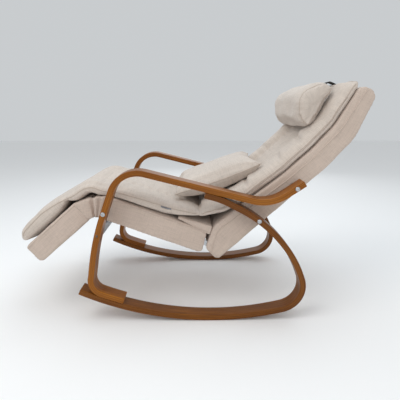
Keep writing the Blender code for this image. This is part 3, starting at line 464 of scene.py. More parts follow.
def set_coords(piece, co):
    piece.data.vertices.foreach_set("co", co.astype(np.float32).ravel())
    piece.data.update()


def normals(piece):
    n = np.empty(len(piece.data.vertices) * 3, np.float32)
    piece.data.vertices.foreach_get("normal", n)
    return n.reshape(-1, 3).astype(float)


def apply_modifiers(piece):
    graph = bpy.context.evaluated_depsgraph_get()
    mesh = bpy.data.meshes.new_from_object(piece.evaluated_get(graph), depsgraph=graph)
    old = piece.data
    piece.modifiers.clear()
    piece.data = mesh
    mesh.name = piece.name
    bpy.data.meshes.remove(old)
    mesh.polygons.foreach_set("use_smooth", [True] * len(mesh.polygons))


def store(piece, name, values):
    made = piece.data.attributes.new(name, "FLOAT_VECTOR", "POINT")
    made.data.foreach_set("vector", np.asarray(values, np.float32).ravel())


def remesh(piece, voxel):
    made = piece.modifiers.new("remesh", "REMESH")
    made.mode = "VOXEL"
    made.voxel_size = voxel
    made.use_smooth_shade = True
    apply_modifiers(piece)


def smooth(piece, times, factor=0.5):
    made = piece.modifiers.new("smooth", "SMOOTH")
    made.iterations = times
    made.factor = factor
    apply_modifiers(piece)


def inflate(piece, cap, pressure=4.0, frames=20, stiffness=8.0, bending=0.3):
    """Blows the piece up as sewn cloth, and lets no point move further than the cap."""
    before = coords(piece)
    made = piece.modifiers.new("cloth", "CLOTH")
    cloth = made.settings
    cloth.quality = 4
    cloth.mass = 0.25
    cloth.tension_stiffness = stiffness
    cloth.compression_stiffness = stiffness
    cloth.shear_stiffness = stiffness * 0.5
    cloth.bending_stiffness = bending
    cloth.use_pressure = True
    cloth.uniform_pressure_force = pressure
    cloth.effector_weights.gravity = 0.0
    made.collision_settings.use_collision = False
    made.point_cache.frame_start = 1
    made.point_cache.frame_end = frames
    scene = bpy.context.scene
    for k in range(1, frames + 1):
        scene.frame_set(k)
    apply_modifiers(piece)
    scene.frame_set(1)
    after = coords(piece)
    move = after - before
    length = np.linalg.norm(move, axis=1)
    share = np.where(length > cap, cap / np.maximum(length, 1e-9), 1.0)
    set_coords(piece, before + move * share[:, None])


def fine_noise(co, scale, seed=0.0):
    places = [(c[0] * scale + seed, c[1] * scale - seed, c[2] * scale + seed) for c in co]
    return np.array([noise.noise(Vector(p)) for p in places])


def subdivide(piece):
    made = piece.modifiers.new("subdivision", "SUBSURF")
    made.levels = 1
    made.render_levels = 1
    apply_modifiers(piece)


def tube(name, points, radius, material, closed=False, sides=6):
    """A thin round cord of seam or stitching along a line of points."""
    p = np.array(points, float)
    tangent = np.roll(p, -1, 0) - np.roll(p, 1, 0) if closed else np.gradient(p, axis=0)
    tangent /= np.maximum(np.linalg.norm(tangent, axis=1), 1e-9)[:, None]
    ref = np.where(np.abs(tangent[:, 1:2]) < 0.9, np.array([[0, 1.0, 0]]), np.array([[0, 0, 1.0]]))
    u = np.cross(tangent, ref)
    u /= np.linalg.norm(u, axis=1)[:, None]
    v = np.cross(tangent, u)
    angle = np.arange(sides) * 2 * pi / sides
    around = np.cos(angle)[None, :, None] * u[:, None] + np.sin(angle)[None, :, None] * v[:, None]
    rings = p[:, None] + radius * around
    faces = grid_faces(len(p), sides)
    if closed:
        last = (len(p) - 1) * sides
        faces += [(last + k, last + (k + 1) % sides, (k + 1) % sides, k) for k in range(sides)]
    else:
        faces += [tuple(range(sides))[::-1], tuple((len(p) - 1) * sides + k for k in range(sides))]
    piece = new_piece(name, rings.reshape(-1, 3), faces, material)
    length = np.concatenate([[0], np.cumsum(np.linalg.norm(np.diff(p, axis=0), axis=1))])
    values = np.repeat(np.stack([length, length * 0, length * 0], 1), sides, 0)
    store(piece, "cloth", values)
    return piece


def tree_of(co):
    tree = KDTree(len(co))
    for k, c in enumerate(co):
        tree.insert(c, k)
    tree.balance()
    return tree


def on_surface(piece, points, lift=0.0):
    """The points moved onto the piece's surface, and out of it by the lift."""
    hits = [piece.closest_point_on_mesh(Vector(p)) for p in points]
    return np.array([np.array(h[1]) + np.array(h[2]) * lift for h in hits])


def stand_for(piece, body, slot, *nodes):
    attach(piece, body)
    if nodes:
        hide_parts(*nodes)
    return piece


# ---------------------------------------------------------------- camera, light and floor
def studio():
    scene = bpy.context.scene
    camera = bpy.data.objects.new("camera", bpy.data.cameras.new("camera"))
    camera.data.lens = 32.4
    camera.data.sensor_width = 36.0
    camera.location = (0, -1.591, 0.791)
    camera.rotation_euler = (pi / 2 - radians(13.58), 0, -radians(0.85))
    scene.collection.objects.link(camera)
    scene.camera = camera
    world = bpy.data.worlds.new("studio")
    scene.world = world
    world.use_nodes = True
    world.node_tree.nodes["Background"].inputs["Color"].default_value = (0.94, 0.975, 1.0, 1)
    world.node_tree.nodes["Background"].inputs["Strength"].default_value = 0.62
    for name, place, size, power, colour in (
        ("key", (-1.6, -1.4, 2.9), 1.8, 34, (1.0, 0.985, 0.96)),
        ("top", (0.3, 0.5, 2.8), 2.6, 26, (0.84, 0.93, 1.0)),
        ("front", (0.9, -3.0, 1.3), 2.4, 14, (1.0, 0.93, 0.86)),
        ("back", (0.6, 3.0, 1.6), 2.2, 9, (0.95, 0.98, 1.0)),
    ):
        light = bpy.data.objects.new(name, bpy.data.lights.new(name, "AREA"))
        light.data.shape = "SQUARE"
        light.data.size = size
        light.data.energy = power
        light.data.color = colour
        light.location = place
        light.rotation_euler = (Vector((0, 0, 0.42)) - Vector(place)).to_track_quat("-Z", "Y").to_euler()
        scene.collection.objects.link(light)
    g = Graph("floor")
    g.shade(Base_Color=(0.93, 0.93, 0.93, 1), Roughness=0.8, Specular_IOR_Level=0.2)
    floor = new_piece("floor", [(-9, -9, -0.0006), (9, -9, -0.0006), (9, 9, -0.0006), (-9, 9, -0.0006)],
        [(0, 1, 2, 3)], g.mat)
    scene.view_settings.view_transform = "Standard"


studio()


# ---------------------------------------------------------------- bentwood strips
def strip(name, path, side, material, stagger=0.0):
    """A rounded rectangular section swept along the path, with its own length, depth and width stored."""
    p = resample(path, 0.0075)
    spine = Spine(p)
    low, high = (FRAME_INNER, FRAME_OUTER) if side > 0 else (-FRAME_OUTER, -FRAME_INNER)
    section = []
    r = 0.0030
    for cy, ch, first in ((high - r, HALF - r, 0), (low + r, HALF - r, 90), (low + r, r - HALF, 180),
        (high - r, r - HALF, 270)):
        for k in range(4):
            a = radians(first + 30 * k)
            section.append((cy + r * cos(a), ch + r * sin(a)))
    # extra points along the faces keep the shading even
    full = []
    for k, a in enumerate(section):
        b = section[(k + 1) % len(section)]
        full.append(a)
        gap = hypot(b[0] - a[0], b[1] - a[1])
        if gap > 0.006:
            n = 3 if gap > 0.03 else 2
            full += [(a[0] + (b[0] - a[0]) * j / (n + 1), a[1] + (b[1] - a[1]) * j / (n + 1))
                for j in range(1, n + 1)]
    section = full
    verts, place = [], []
    n = len(spine.s)
    soft = 0.0016
    rings = [(spine.s[0] - 0.0, 0.86)] + [(s, 1.0) for s in spine.s[1:-1]] + [(spine.s[-1], 0.86)]
    rings[0:1] = [(0.0, soft), (soft, 0.0)]
    rings[-1:] = [(spine.s[-1] - soft, 0.0), (spine.s[-1], soft)]
    rings = [(s, shrink if isinstance(shrink, float) and shrink < 0.5 else 0.0) for s, shrink in rings]
    middle = (low + high) / 2
    for s, shrink in rings:
        for y, h in section:
            yy = middle + (y - middle) * (1 - shrink / 0.031)
            hh = h * (1 - shrink / HALF)
            x, z = spine.at(s, hh)
            verts.append((x, yy, z))
            place.append((s + stagger, hh, yy * side))
    m = len(section)
    faces = grid_faces(len(rings), m)
    faces += [tuple(range(m)), tuple((len(rings) - 1) * m + k for k in range(m))]
    piece = new_piece(name, verts, faces, material)
    mark = piece.data
    for f in mark.polygons:
        if len(f.vertices) > 4:
            f.use_smooth = False
    store(piece, "strip", place)
    made = piece.modifiers.new("normals", "WEIGHTED_NORMAL")
    made.keep_sharp = True
    return piece


for label, side in SIDES:
    shown = strip(label + "_arm_and_front_leg", arm_path(), side, WOOD_ARM, 0.0 if side < 0 else 5.0)
    stand_for(shown, "frame", "wood", label + "_arm_front_leg")
    # The rocker strips take the darker wood copy: painted shade.
    shown = strip(label + "_rocker_and_rear_leg", rocker_path(), side, WOOD_ROCKER_SHADED,
        11.0 if side < 0 else 17.0)
    stand_for(shown, "frame", "wood", label + "_rocker_rear_leg")


# ---------------------------------------------------------------- bolts, spacers, steel inside
def bolt_head(name, centre, side, radius, height, depth, hexagon, material):
    """A domed head with a hexagon recess, and a short plain shank behind it."""
    steps = 48
    face = FRAME_OUTER + 0.0003

    def ring(size, out, hexed=0.0):
        made = []
        for k in range(steps):
            a = 2 * pi * k / steps
            six = cos(pi / 6) / cos((a % (pi / 3)) - pi / 6)
            r = size * (1 + (six - 1) * hexed)
            made.append((centre[0] + r * cos(a), side * (face + out), centre[1] + r * sin(a)))
        return made

    rings = [
        ring(hexagon * 0.15, height - depth, 1), ring(hexagon * 0.93, height - depth, 1),
        ring(hexagon, height - depth * 0.9, 1), ring(hexagon, height * 0.95, 1),
        ring(hexagon * 1.10, height, 0.9),
        ring(radius * 0.66, height * 0.96), ring(radius * 0.84, height * 0.82),
        ring(radius * 0.95, height * 0.55),
        ring(radius, height * 0.22), ring(radius * 0.985, 0.0), ring(radius * 0.5, 0.0),
        ring(radius * 0.45, -0.004),
    ]
    verts = [v for r in rings for v in r]
    faces = grid_faces(len(rings), steps)
    faces += [tuple(range(steps)), tuple((len(rings) - 1) * steps + k for k in range(steps))]
    return new_piece(name, verts, faces, material)


for label, side in SIDES:
    for place, centre in (("front", FRONT_BOLT), ("arm", ARM_BOLT), ("rear_leg", REAR_BOLT)):
        head = bolt_head(f"{label}_{place}_bolt_head", centre, side, 0.0085, 0.0044, 0.0030, 0.0036, STEEL)
        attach(head, "frame")
    head = bolt_head(label + "_stretcher_screw_head", SCREW, side, 0.0045, 0.0014, 0.0010, 0.0017, PLATED)
    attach(head, "frame")

for node, shown in NODES.items():
    if node.endswith(("bolt", "spacer", "leaf", "pin", "bracket")):
        finish = STEEL
    elif node.endswith("screw"):
        finish = PLATED
    elif node.endswith("rail_frame"):
        finish = BLACK
    elif "webbing" in node:
        finish = WEBBING
    elif node == "front_stretcher":
        finish = GREY
    else:
        continue
    shown.data.materials.clear()
    shown.data.materials.append(finish)


# ---------------------------------------------------------------- upholstered boxes
def extruded(name, outline, half, material):
    n = len(outline)
    verts = [(x, y, z) for y in (-half, half) for x, z in outline]
    faces = grid_faces(2, n) + [tuple(range(n)), tuple(n + k for k in range(n))]
    return new_piece(name, verts, faces, material, False)


def cloth_place(piece, spine):
    co = coords(piece)
    s, h = spine.locate(co[:, 0], co[:, 2])
    store(piece, "cloth", np.stack([s, co[:, 1], h], 1))
    return co, s, h


def groove(piece, lines, depth, width, pucker, seed):
    """Presses a seam line into the cloth, with small gathers beside it."""
    co, nm = coords(piece), normals(piece)
    dense = np.vstack([resample([tuple(p) for p in line], 0.004) for line in lines])
    tree = tree_of(dense)
    run = np.arange(len(dense)) * 0.004
    for k, c in enumerate(co):
        _, index, d = tree.find(c)
        if d > width * 3.2:
            continue
        wave = sin(run[index] * 2 * pi / 0.019 + 2.2 * noise.noise(Vector((run[index] * 14, seed, 0))))
        wave *= 0.5 + noise.noise(Vector((run[index] * 9, seed, 5)))
        co[k] -= nm[k] * (depth * math.exp(-((d / width) ** 2)) - pucker * wave
            * math.exp(-((d / (2.0 * width)) ** 2)))
    set_coords(piece, co)


def soft_box(name, outline, spine, body, node, seed, voxel=0.007, roll=0.0008):
    piece = extruded(name, outline, BOX_HALF - 0.0005, LINEN_BOX_SHADED)
    remesh(piece, voxel)
    smooth(piece, 3)
    co, nm = coords(piece), normals(piece)
    wave = fine_noise(co, 9, seed) * roll * 1.6 + fine_noise(co, 30, seed + 7) * roll * 0.5
    co += nm * wave[:, None]
    co[:, 1] = np.clip(co[:, 1], -0.2560, 0.2560)
    set_coords(piece, co)
    cloth_place(piece, spine)
    stand_for(piece, body, "linen", node)
    return piece


def side_seams(name, piece, line, body, radius=0.0015):
    for label, side in SIDES:
        flat = [(x, side * 0.30, z) for x, z in line]
        made = tube(f"{label}_{name}", on_surface(piece, flat, radius * 0.2), radius, LINEN_BOX_SHADED)
        stand_for(made, body, "linen")


seat_spine = Spine([seat_point(0, 0), seat_point(0.5, 0)])
foot_spine = Spine([foot_point(0.4, 0), foot_point(0, 0)])
seat_corners = [(SEAT_SPAN[0], SEAT_LOW), (SEAT_SPAN[1] + 0.008, SEAT_LOW),
    (SEAT_SPAN[1] - 0.003, SEAT_TOP), (SEAT_SPAN[0], SEAT_TOP)]
seat_outline = rounded_outline([seat_point(*c) for c in seat_corners], [0.004, 0.016, 0.016, 0.004])
seat_box = soft_box("seat_upholstery", seat_outline, seat_spine, "frame", "seat_cover", 1.0)
foot_corners = [(FOOT_SPAN[0], FOOT_LOW), (FOOT_SPAN[1], FOOT_LOW), (FOOT_SPAN[1], FOOT_TOP),
    (FOOT_SPAN[0], FOOT_TOP)]
foot_outline = rounded_outline([foot_point(*c) for c in foot_corners], [0.004, 0.017, 0.017, 0.004])
foot_box = soft_box("footrest_upholstery", foot_outline, foot_spine, "footrest", "footrest_cover", 2.0)
upper, lower = offset(BACK_CORNERS, BACK_FRONTS), offset(BACK_CORNERS, -0.036)
bends = [0.05, 0.3, 0.4, 0.60, 0.16]
back_outline = rounded_outline(upper + lower[::-1], [0.018, *bends, 0.030, 0.032, *bends[::-1], 0.018])
back_box = soft_box("back_upholstery", back_outline, BACK_SPINE, "frame", "back_cover", 3.0)

inset = 0.005
line = [seat_point(SEAT_SPAN[0] + 0.002, SEAT_TOP - inset),
    seat_point(SEAT_SPAN[1] - inset, SEAT_TOP - inset)]
side_seams("seat_side_seam", seat_box, resample(line, 0.01), "frame")
line = [foot_point(FOOT_SPAN[0] + 0.002, FOOT_TOP - inset),
    foot_point(FOOT_SPAN[1] - inset, FOOT_TOP - inset)]
side_seams("footrest_side_seam", foot_box, resample(line, 0.01), "footrest")
front_line = offset(BACK_CORNERS, [v - 0.026 for v in BACK_FRONTS])
front_line[0] = add(front_line[0], LOWER_DIR, 0.004)
front_line[-1] = add(front_line[-1], HEAD_DIR, -0.006)
side_seams("back_side_seam", back_box, resample(rounded_path(front_line, bends), 0.01), "frame",
    radius=0.0018)


def rear_panel():
    """A stretched lining across the back of the box, hemmed round its edge."""
    margin, half = 0.0303, 0.2236
    total = BACK_SPINE.s[-1]
    ss, ys = np.linspace(margin, total - margin, 70), np.linspace(-half, half, 45)
    verts, place = [], []
    for s in ss:
        for y in ys:
            u, v = (s - margin) / (total - 2 * margin), (y + half) / (2 * half)
            sag = 0.0035 * (sin(pi * u) * sin(pi * v)) ** 0.5
            ripple = 0.0007 * noise.noise(Vector((s * 14, y * 14, 2))) * sin(pi * u) * sin(pi * v)
            x, z = BACK_SPINE.at(s, -0.0362 + sag + ripple)
            verts.append((x, y, z))
            place.append((s, y, 0))
    piece = new_piece("back_lining", verts, grid_faces(len(ss), len(ys), False), LINING)
    store(piece, "cloth", place)
    made = piece.modifiers.new("thickness", "SOLIDIFY")
    made.thickness = 0.0010
    made.offset = 0
    apply_modifiers(piece)
    stand_for(piece, "frame", "lining", "back_rear_panel")
    edge = [(s, -half) for s in np.arange(margin, total - margin, 0.01)]
    edge += [(total - margin, y) for y in np.arange(-half, half, 0.01)]
    edge += [(s, half) for s in np.arange(total - margin, margin, -0.01)]
    edge += [(margin, y) for y in np.arange(half, -half, -0.01)]
    points = [(BACK_SPINE.at(s, -0.0365)[0], y, BACK_SPINE.at(s, -0.0365)[1]) for s, y in edge]
    stand_for(tube("back_lining_hem", points, 0.0013, SEAM, True), "frame", "linen")


rear_panel()


# ---------------------------------------------------------------- gathered sleeve over the hinge
def knuckle():
    def section(point, start, low, high):
        half, n = BOX_HALF - 0.0010, 10
        made = [(*point(start, low + (high - low) * k / n), -half) for k in range(n + 1)]
        made += [(*point(start, high), half * (2 * k / 24 - 1)) for k in range(1, 25)]
        made += [(*point(start, high + (low - high) * k / n), half) for k in range(1, n + 1)]
        made += [(*point(start, low), half * (1 - 2 * k / 24)) for k in range(1, 24)]
        return np.array([(x, y, z) for x, z, y in made])

    a = section(seat_point, SEAT_SPAN[0] + 0.004, SEAT_LOW + 0.002, SEAT_TOP - 0.0015)
    b = section(foot_point, FOOT_SPAN[0] + 0.004, FOOT_LOW + 0.002, FOOT_TOP - 0.0015)
    over = np.array(seat_point(-0.002, SEAT_TOP - 0.010))
    under = np.array(seat_point(0.013, SEAT_LOW + 0.007))
    rings, n = [], 26
    rise = np.zeros(len(a))
    rise[:11] = np.linspace(0, 1, 11)
    rise[10:35] = 1
    rise[34:45] = np.linspace(1, 0, 11)
    control = np.stack([under[0] + (over[0] - under[0]) * rise, a[:, 1],
        under[1] + (over[1] - under[1]) * rise], 1)
    for k in range(n + 1):
        t = k / n
        ring = (1 - t) ** 2 * a + 2 * t * (1 - t) * control + t * t * b
        main_pleat = 0.0110 * math.exp(-(((t - 0.55) / 0.050) ** 2))
        pleat = main_pleat + 0.0035 * math.exp(-(((t - 0.30) / 0.06) ** 2))
        puff = 0.0035 * sin(pi * t)
        sideways = np.where(np.abs(np.abs(ring[:, 1]) - (BOX_HALF - 0.0010)) < 1e-6, 1.0, 0.0)
        ring[:, 1] += np.sign(ring[:, 1]) * (puff - pleat * 1.15) * sideways
        dent = (pleat * 0.9 - puff) * (1 - sideways)
        up = np.where(rise > 0.5, 1, -1)
        ring[:, 2] -= dent * up
        rings.append(ring)
    m = len(a)
    verts = np.vstack(rings)
    faces = grid_faces(n + 1, m) + [tuple(range(m)), tuple(n * m + k for k in range(m))]
    piece = new_piece("hinge_gather", verts, faces, LINEN_BOX_SHADED)
    store(piece, "cloth", np.stack([verts[:, 0], verts[:, 1], verts[:, 2]], 1))
    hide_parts("knuckle_sleeve")
    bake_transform(piece)


knuckle()


# ---------------------------------------------------------------- cushions
def cushion_mesh(name, spine, table, material):
    """A lofted cushion: table rows are (s, underside, seam height, crown height, half width, bulge)."""
    t = np.array(table, float)
    ss = np.arange(t[0, 0], t[-1, 0] + 1e-6, 0.008)
    verts = []
    for s in ss:
        low, seam, top, wide, bulge = (np.interp(s, t[:, 0], t[:, k]) for k in range(1, 6))
        ring = []
        for k in range(41):
            y = wide * cos(pi * k / 40)
            ring.append((y, seam + (top - seam) * max(0, 1 - abs(y / wide) ** 3.0) ** 0.5))
        for f, g in ((0.22, 0.55), (0.5, 1.0), (0.8, 0.55)):
            ring.append((-wide - bulge * g, seam + (low - seam) * f))
        for k in range(1, 12):
            ring.append((-(wide - 0.001) * (1 - 2 * k / 12), low))
        for f, g in ((0.8, 0.55), (0.5, 1.0), (0.22, 0.55)):
            ring.append((wide + bulge * g, seam + (low - seam) * f))
        for y, h in ring:
            x, z = spine.at(s, h)
            verts.append((x, y, z))
    m = len(verts) // len(ss)
    faces = grid_faces(len(ss), m) + [tuple(range(m)), tuple((len(ss) - 1) * m + k for k in range(m))]
    return new_piece(name, verts, faces, material)


def seam_line(spine, table, first, last, side, out=0.02):
    t = np.array(table, float)
    ss = np.arange(first, last, 0.008)
    x, z = spine.at(ss, np.interp(ss, t[:, 0], t[:, 2]))
    return np.stack([x, side * (np.interp(ss, t[:, 0], t[:, 4]) + out), z], 1)


def sewn(piece, spine, depth, centre, fade, creases, seed, valley=0.118):
    """Presses the two lengthwise channels and the cross creases into the top of a cushion."""
    co = coords(piece)
    s, h = spine.locate(co[:, 0], co[:, 2])
    nz = normals(piece)
    bx, bz = spine.at(s, 0.0)
    dx, dz = spine.at(s, 1.0)
    dx, dz = dx - bx, dz - bz
    facing = np.clip((nz[:, 0] * dx + nz[:, 2] * dz - 0.25) / 0.4, 0, 1)
    share = np.interp(s, [f[0] for f in fade], [f[1] for f in fade])
    a = np.abs(co[:, 1])
    ripple = fine_noise(np.stack([s * 1.0, co[:, 1] * 0.3, h * 0], 1), 26, seed)
    d = depth * np.exp(-(((a - valley) / 0.017) ** 2)) * (1 + 0.4 * ripple)
    d += centre / (1 + np.exp((a - valley) / 0.014))
    d += 0.0016 * np.sin(s * 2 * pi / 0.037 + 3 * ripple) * np.exp(-(((a - valley) / 0.034) ** 2))
    for at, y0, y1, slant, deep, width in creases:
        run = (co[:, 1] - y0) / (y1 - y0)
        off = s - at - slant * run
        fading = np.clip(1 - np.abs(run - 0.5) * 2, 0, 1) ** 0.5
        d += deep * np.exp(-((off / width) ** 2)) * fading
        d -= deep * 0.35 * np.exp(-(((off - 2.1 * width) / (1.3 * width)) ** 2)) * fading
    d *= facing * share
    co[:, 0] -= dx * d
    co[:, 2] -= dz * d
    set_coords(piece, co)


def crumple(piece, seed, broad=0.0022, fine=0.0007):
    co, nm = coords(piece), normals(piece)
    a = fine_noise(co * np.array([1, 0.6, 1]), 13, seed)
    b = fine_noise(co, 42, seed + 3)
    co += nm * (broad * a + fine * b)[:, None]
    set_coords(piece, co)


def soft_edges(piece, limit=0.2615):
    co = coords(piece)
    co[:, 1] = np.clip(co[:, 1], -limit, limit)
    set_coords(piece, co)


def meet(p, d, q, e):
    """Where the line through p along d meets the line through q along e."""
    k = ((q[0] - p[0]) * e[1] - (q[1] - p[1]) * e[0]) / (d[0] * e[1] - d[1] * e[0])
    return add(p, d, k)


def long_cushion():
    knee = meet(foot_point(0.1, FOOT_TOP + 0.002), FOOT_DIR, seat_point(0.1, SEAT_TOP + 0.0015), SEAT_DIR)
    spine = Spine(rounded_path(
        [foot_point(0.305, FOOT_TOP + 0.002), knee, seat_point(0.262, SEAT_TOP + 0.0015),
            (-0.050, 0.3965), (0.026, 0.3965)],
        [0.045, 0.10, 0.08],
    ))

    def at(point):
        return float(spine.locate(np.array([point[0]]), np.array([point[1]]))[0][0])

    end = float(spine.s[-1])
    table = [
        (0.0, 0.014, 0.026, 0.030, 0.232, 0.001),
        (0.010, 0.006, 0.036, 0.044, 0.240, 0.003),
        (0.030, 0.002, 0.048, 0.056, 0.246, 0.006),
        (at(foot_point(0.245, 0.066)), 0.002, 0.054, 0.062, 0.248, 0.007),
        (at(foot_point(0.163, 0.066)), 0.003, 0.060, 0.066, 0.248, 0.008),
        (at(foot_point(0.110, 0.066)), 0.008, 0.053, 0.060, 0.247, 0.006),
        (at(foot_point(0.072, 0.066)), 0.018, 0.043, 0.052, 0.246, 0.003),
        (at(foot_point(0.054, 0.066)), 0.027, 0.035, 0.045, 0.244, 0.000),
        (at(foot_point(0.040, 0.066)), 0.010, 0.032, 0.042, 0.246, 0.004),
        (at(foot_point(0.020, 0.066)), -0.006, 0.028, 0.038, 0.247, 0.006),
        (at(seat_point(0.000, 0.066)), -0.012, 0.020, 0.030, 0.248, 0.006),
        (at(seat_point(0.030, 0.066)), -0.004, 0.022, 0.034, 0.248, 0.006),
        (at(seat_point(0.065, 0.066)), 0.002, 0.034, 0.046, 0.249, 0.008),
        (at(seat_point(0.153, 0.066)), 0.001, 0.039, 0.050, 0.249, 0.008),
        (at(seat_point(0.250, 0.066)), 0.001, 0.044, 0.053, 0.249, 0.008),
        (end - 0.065, 0.001, 0.034, 0.046, 0.249, 0.007),
        (end - 0.030, 0.000, 0.022, 0.033, 0.247, 0.004),
        (end, 0.000, 0.012, 0.019, 0.243, 0.001),
    ]
    piece = cushion_mesh("long_cushion", spine, table, LINEN_CUSHION)
    remesh(piece, 0.006)
    smooth(piece, 2)
    inflate(piece, 0.005)
    creases = [
        (at(seat_point(0.013, 0.066)) - 0.055, -0.26, 0.10, 0.05, 0.0045, 0.009),
        (at(seat_point(0.013, 0.066)) - 0.010, -0.27, 0.27, -0.03, 0.0040, 0.010),
        (at(seat_point(0.07, 0.066)), -0.26, -0.02, 0.06, 0.0035, 0.010),
        (at(seat_point(0.18, 0.066)), -0.26, 0.26, 0.02, 0.0035, 0.014),
        (0.115, -0.26, 0.05, -0.05, 0.0030, 0.012),
    ]
    fade = [(0, 0), (0.05, 0.35), (0.25, 0.45), (0.45, 0.55), (end - 0.10, 0.9), (end, 1.0)]
    sewn(piece, spine, 0.008, 0.003, fade, creases, 2.0)
    crumple(piece, 4.0)
    lines = [seam_line(spine, table, 0.012, end - 0.01, side, 0.004) for side in (-1, 1)]
    groove(piece, lines, 0.0030, 0.0045, 0.0011, 1.0)
    subdivide(piece)
    soft_edges(piece)
    cloth_place(piece, spine)
    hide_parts("leg_cushion", "knee_cushion", "seat_cushion")
    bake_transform(piece)
    for (label, side), line in zip(SIDES, lines):
        line[:, 1] += side * 0.02
        made = tube(label + "_cushion_seam", on_surface(piece, line, 0.0004), 0.0013, SEAM)
        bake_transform(made)
    front = [(spine.at(0.004, 0.034)[0] - 0.03, y, spine.at(0.004, 0.034)[1] - 0.01)
        for y in np.linspace(-0.235, 0.235, 60)]
    made = tube("cushion_front_seam", on_surface(piece, front, 0.0004), 0.0013, SEAM)
    stand_for(made, "footrest", "linen")
    return piece


LONG = long_cushion()


def back_cushion():
    head_end = add(BACK_TOP, HEAD_DIR, 0.012)
    under = offset([ARM_BOLT, BACK_BEND, BACK_HEAD, head_end], [0.0545, 0.0545, 0.0545, 0.0345])
    spine = Spine(rounded_path([(0.008, 0.400), (0.112, 0.414), (0.196, 0.4610), *under],
        [0.07, 0.25, 0.5, 0.60, 0.14]))
    end = float(spine.s[-1])
    table = [
        (0.0, 0.000, 0.010, 0.018, 0.243, 0.001),
        (0.030, 0.000, 0.018, 0.034, 0.246, 0.004),
        (0.090, 0.000, 0.030, 0.050, 0.248, 0.006),
        (0.25, 0.000, 0.032, 0.052, 0.249, 0.006),
        (0.50, 0.000, 0.032, 0.052, 0.249, 0.006),
        (end - 0.12, 0.000, 0.030, 0.050, 0.249, 0.006),
        (end - 0.035, 0.001, 0.026, 0.046, 0.247, 0.005),
        (end - 0.010, 0.002, 0.020, 0.034, 0.243, 0.003),
        (end, 0.006, 0.018, 0.024, 0.237, 0.001),
    ]
    piece = cushion_mesh("back_cushion_cover", spine, table, LINEN_CUSHION)
    remesh(piece, 0.006)
    smooth(piece, 2)
    inflate(piece, 0.008)
    creases = [
        (0.235, -0.235, -0.115, 0.026, 0.0105, 0.010),
        (0.400, -0.235, -0.115, 0.024, 0.0100, 0.010),
        (0.505, -0.235, -0.115, 0.022, 0.0105, 0.010),
        (0.24, 0.105, 0.215, -0.02, 0.0050, 0.008),
        (0.43, 0.105, 0.215, -0.02, 0.0050, 0.008),
        (0.33, -0.10, 0.10, 0.01, 0.0025, 0.012),
    ]
    fade = [(0, 0.25), (0.13, 0.35), (0.24, 1.0), (end - 0.07, 1.0), (end - 0.01, 0.15), (end, 0)]
    sewn(piece, spine, 0.010, 0.029, fade, creases, 6.0)
    crumple(piece, 9.0, 0.0020, 0.0007)
    lines = [seam_line(spine, table, 0.010, end - 0.006, side, 0.003) for side in (-1, 1)]
    groove(piece, lines, 0.0028, 0.0042, 0.0011, 3.0)
    subdivide(piece)
    soft_edges(piece)
    cloth_place(piece, spine)
    stand_for(piece, "frame", "linen", "back_cushion")
    for (label, side), line in zip(SIDES, lines):
        line[:, 1] += side * 0.02
        stand_for(tube(label + "_back_cushion_seam", on_surface(piece, line, 0.0004), 0.0013, SEAM),
            "frame", "linen")
        below = line - np.array([spine.at(0.30, 1.0)[0] - spine.at(0.30, 0.0)[0], 0, 0.75]) * 0.010
        made = tube(label + "_back_cushion_stitches", on_surface(piece, below[8:-8], 0.0001), 0.0008, STITCH)
        stand_for(made, "frame", "linen")
    top = [(spine.at(end, 0.018)[0] + 0.01, y, spine.at(end, 0.018)[1] + 0.03)
        for y in np.linspace(-0.238, 0.238, 60)]
    stand_for(tube("back_cushion_top_seam", on_surface(piece, top, 0.0004), 0.0013, SEAM), "frame", "linen")
    return piece


back_cushion()


# ---------------------------------------------------------------- pillows
ABOVE = 0.053 + 0.0008 + 0.050 - 0.001
REST = offset([BACK_BEND, BACK_HEAD, BACK_TOP], ABOVE)
NECK_LOW = add(REST[1], towards(REST[1], REST[0]), 0.055)
NECK_HIGH = add(REST[1], HEAD_DIR, 0.112)
FORWARDS = left_of(HEAD_DIR)


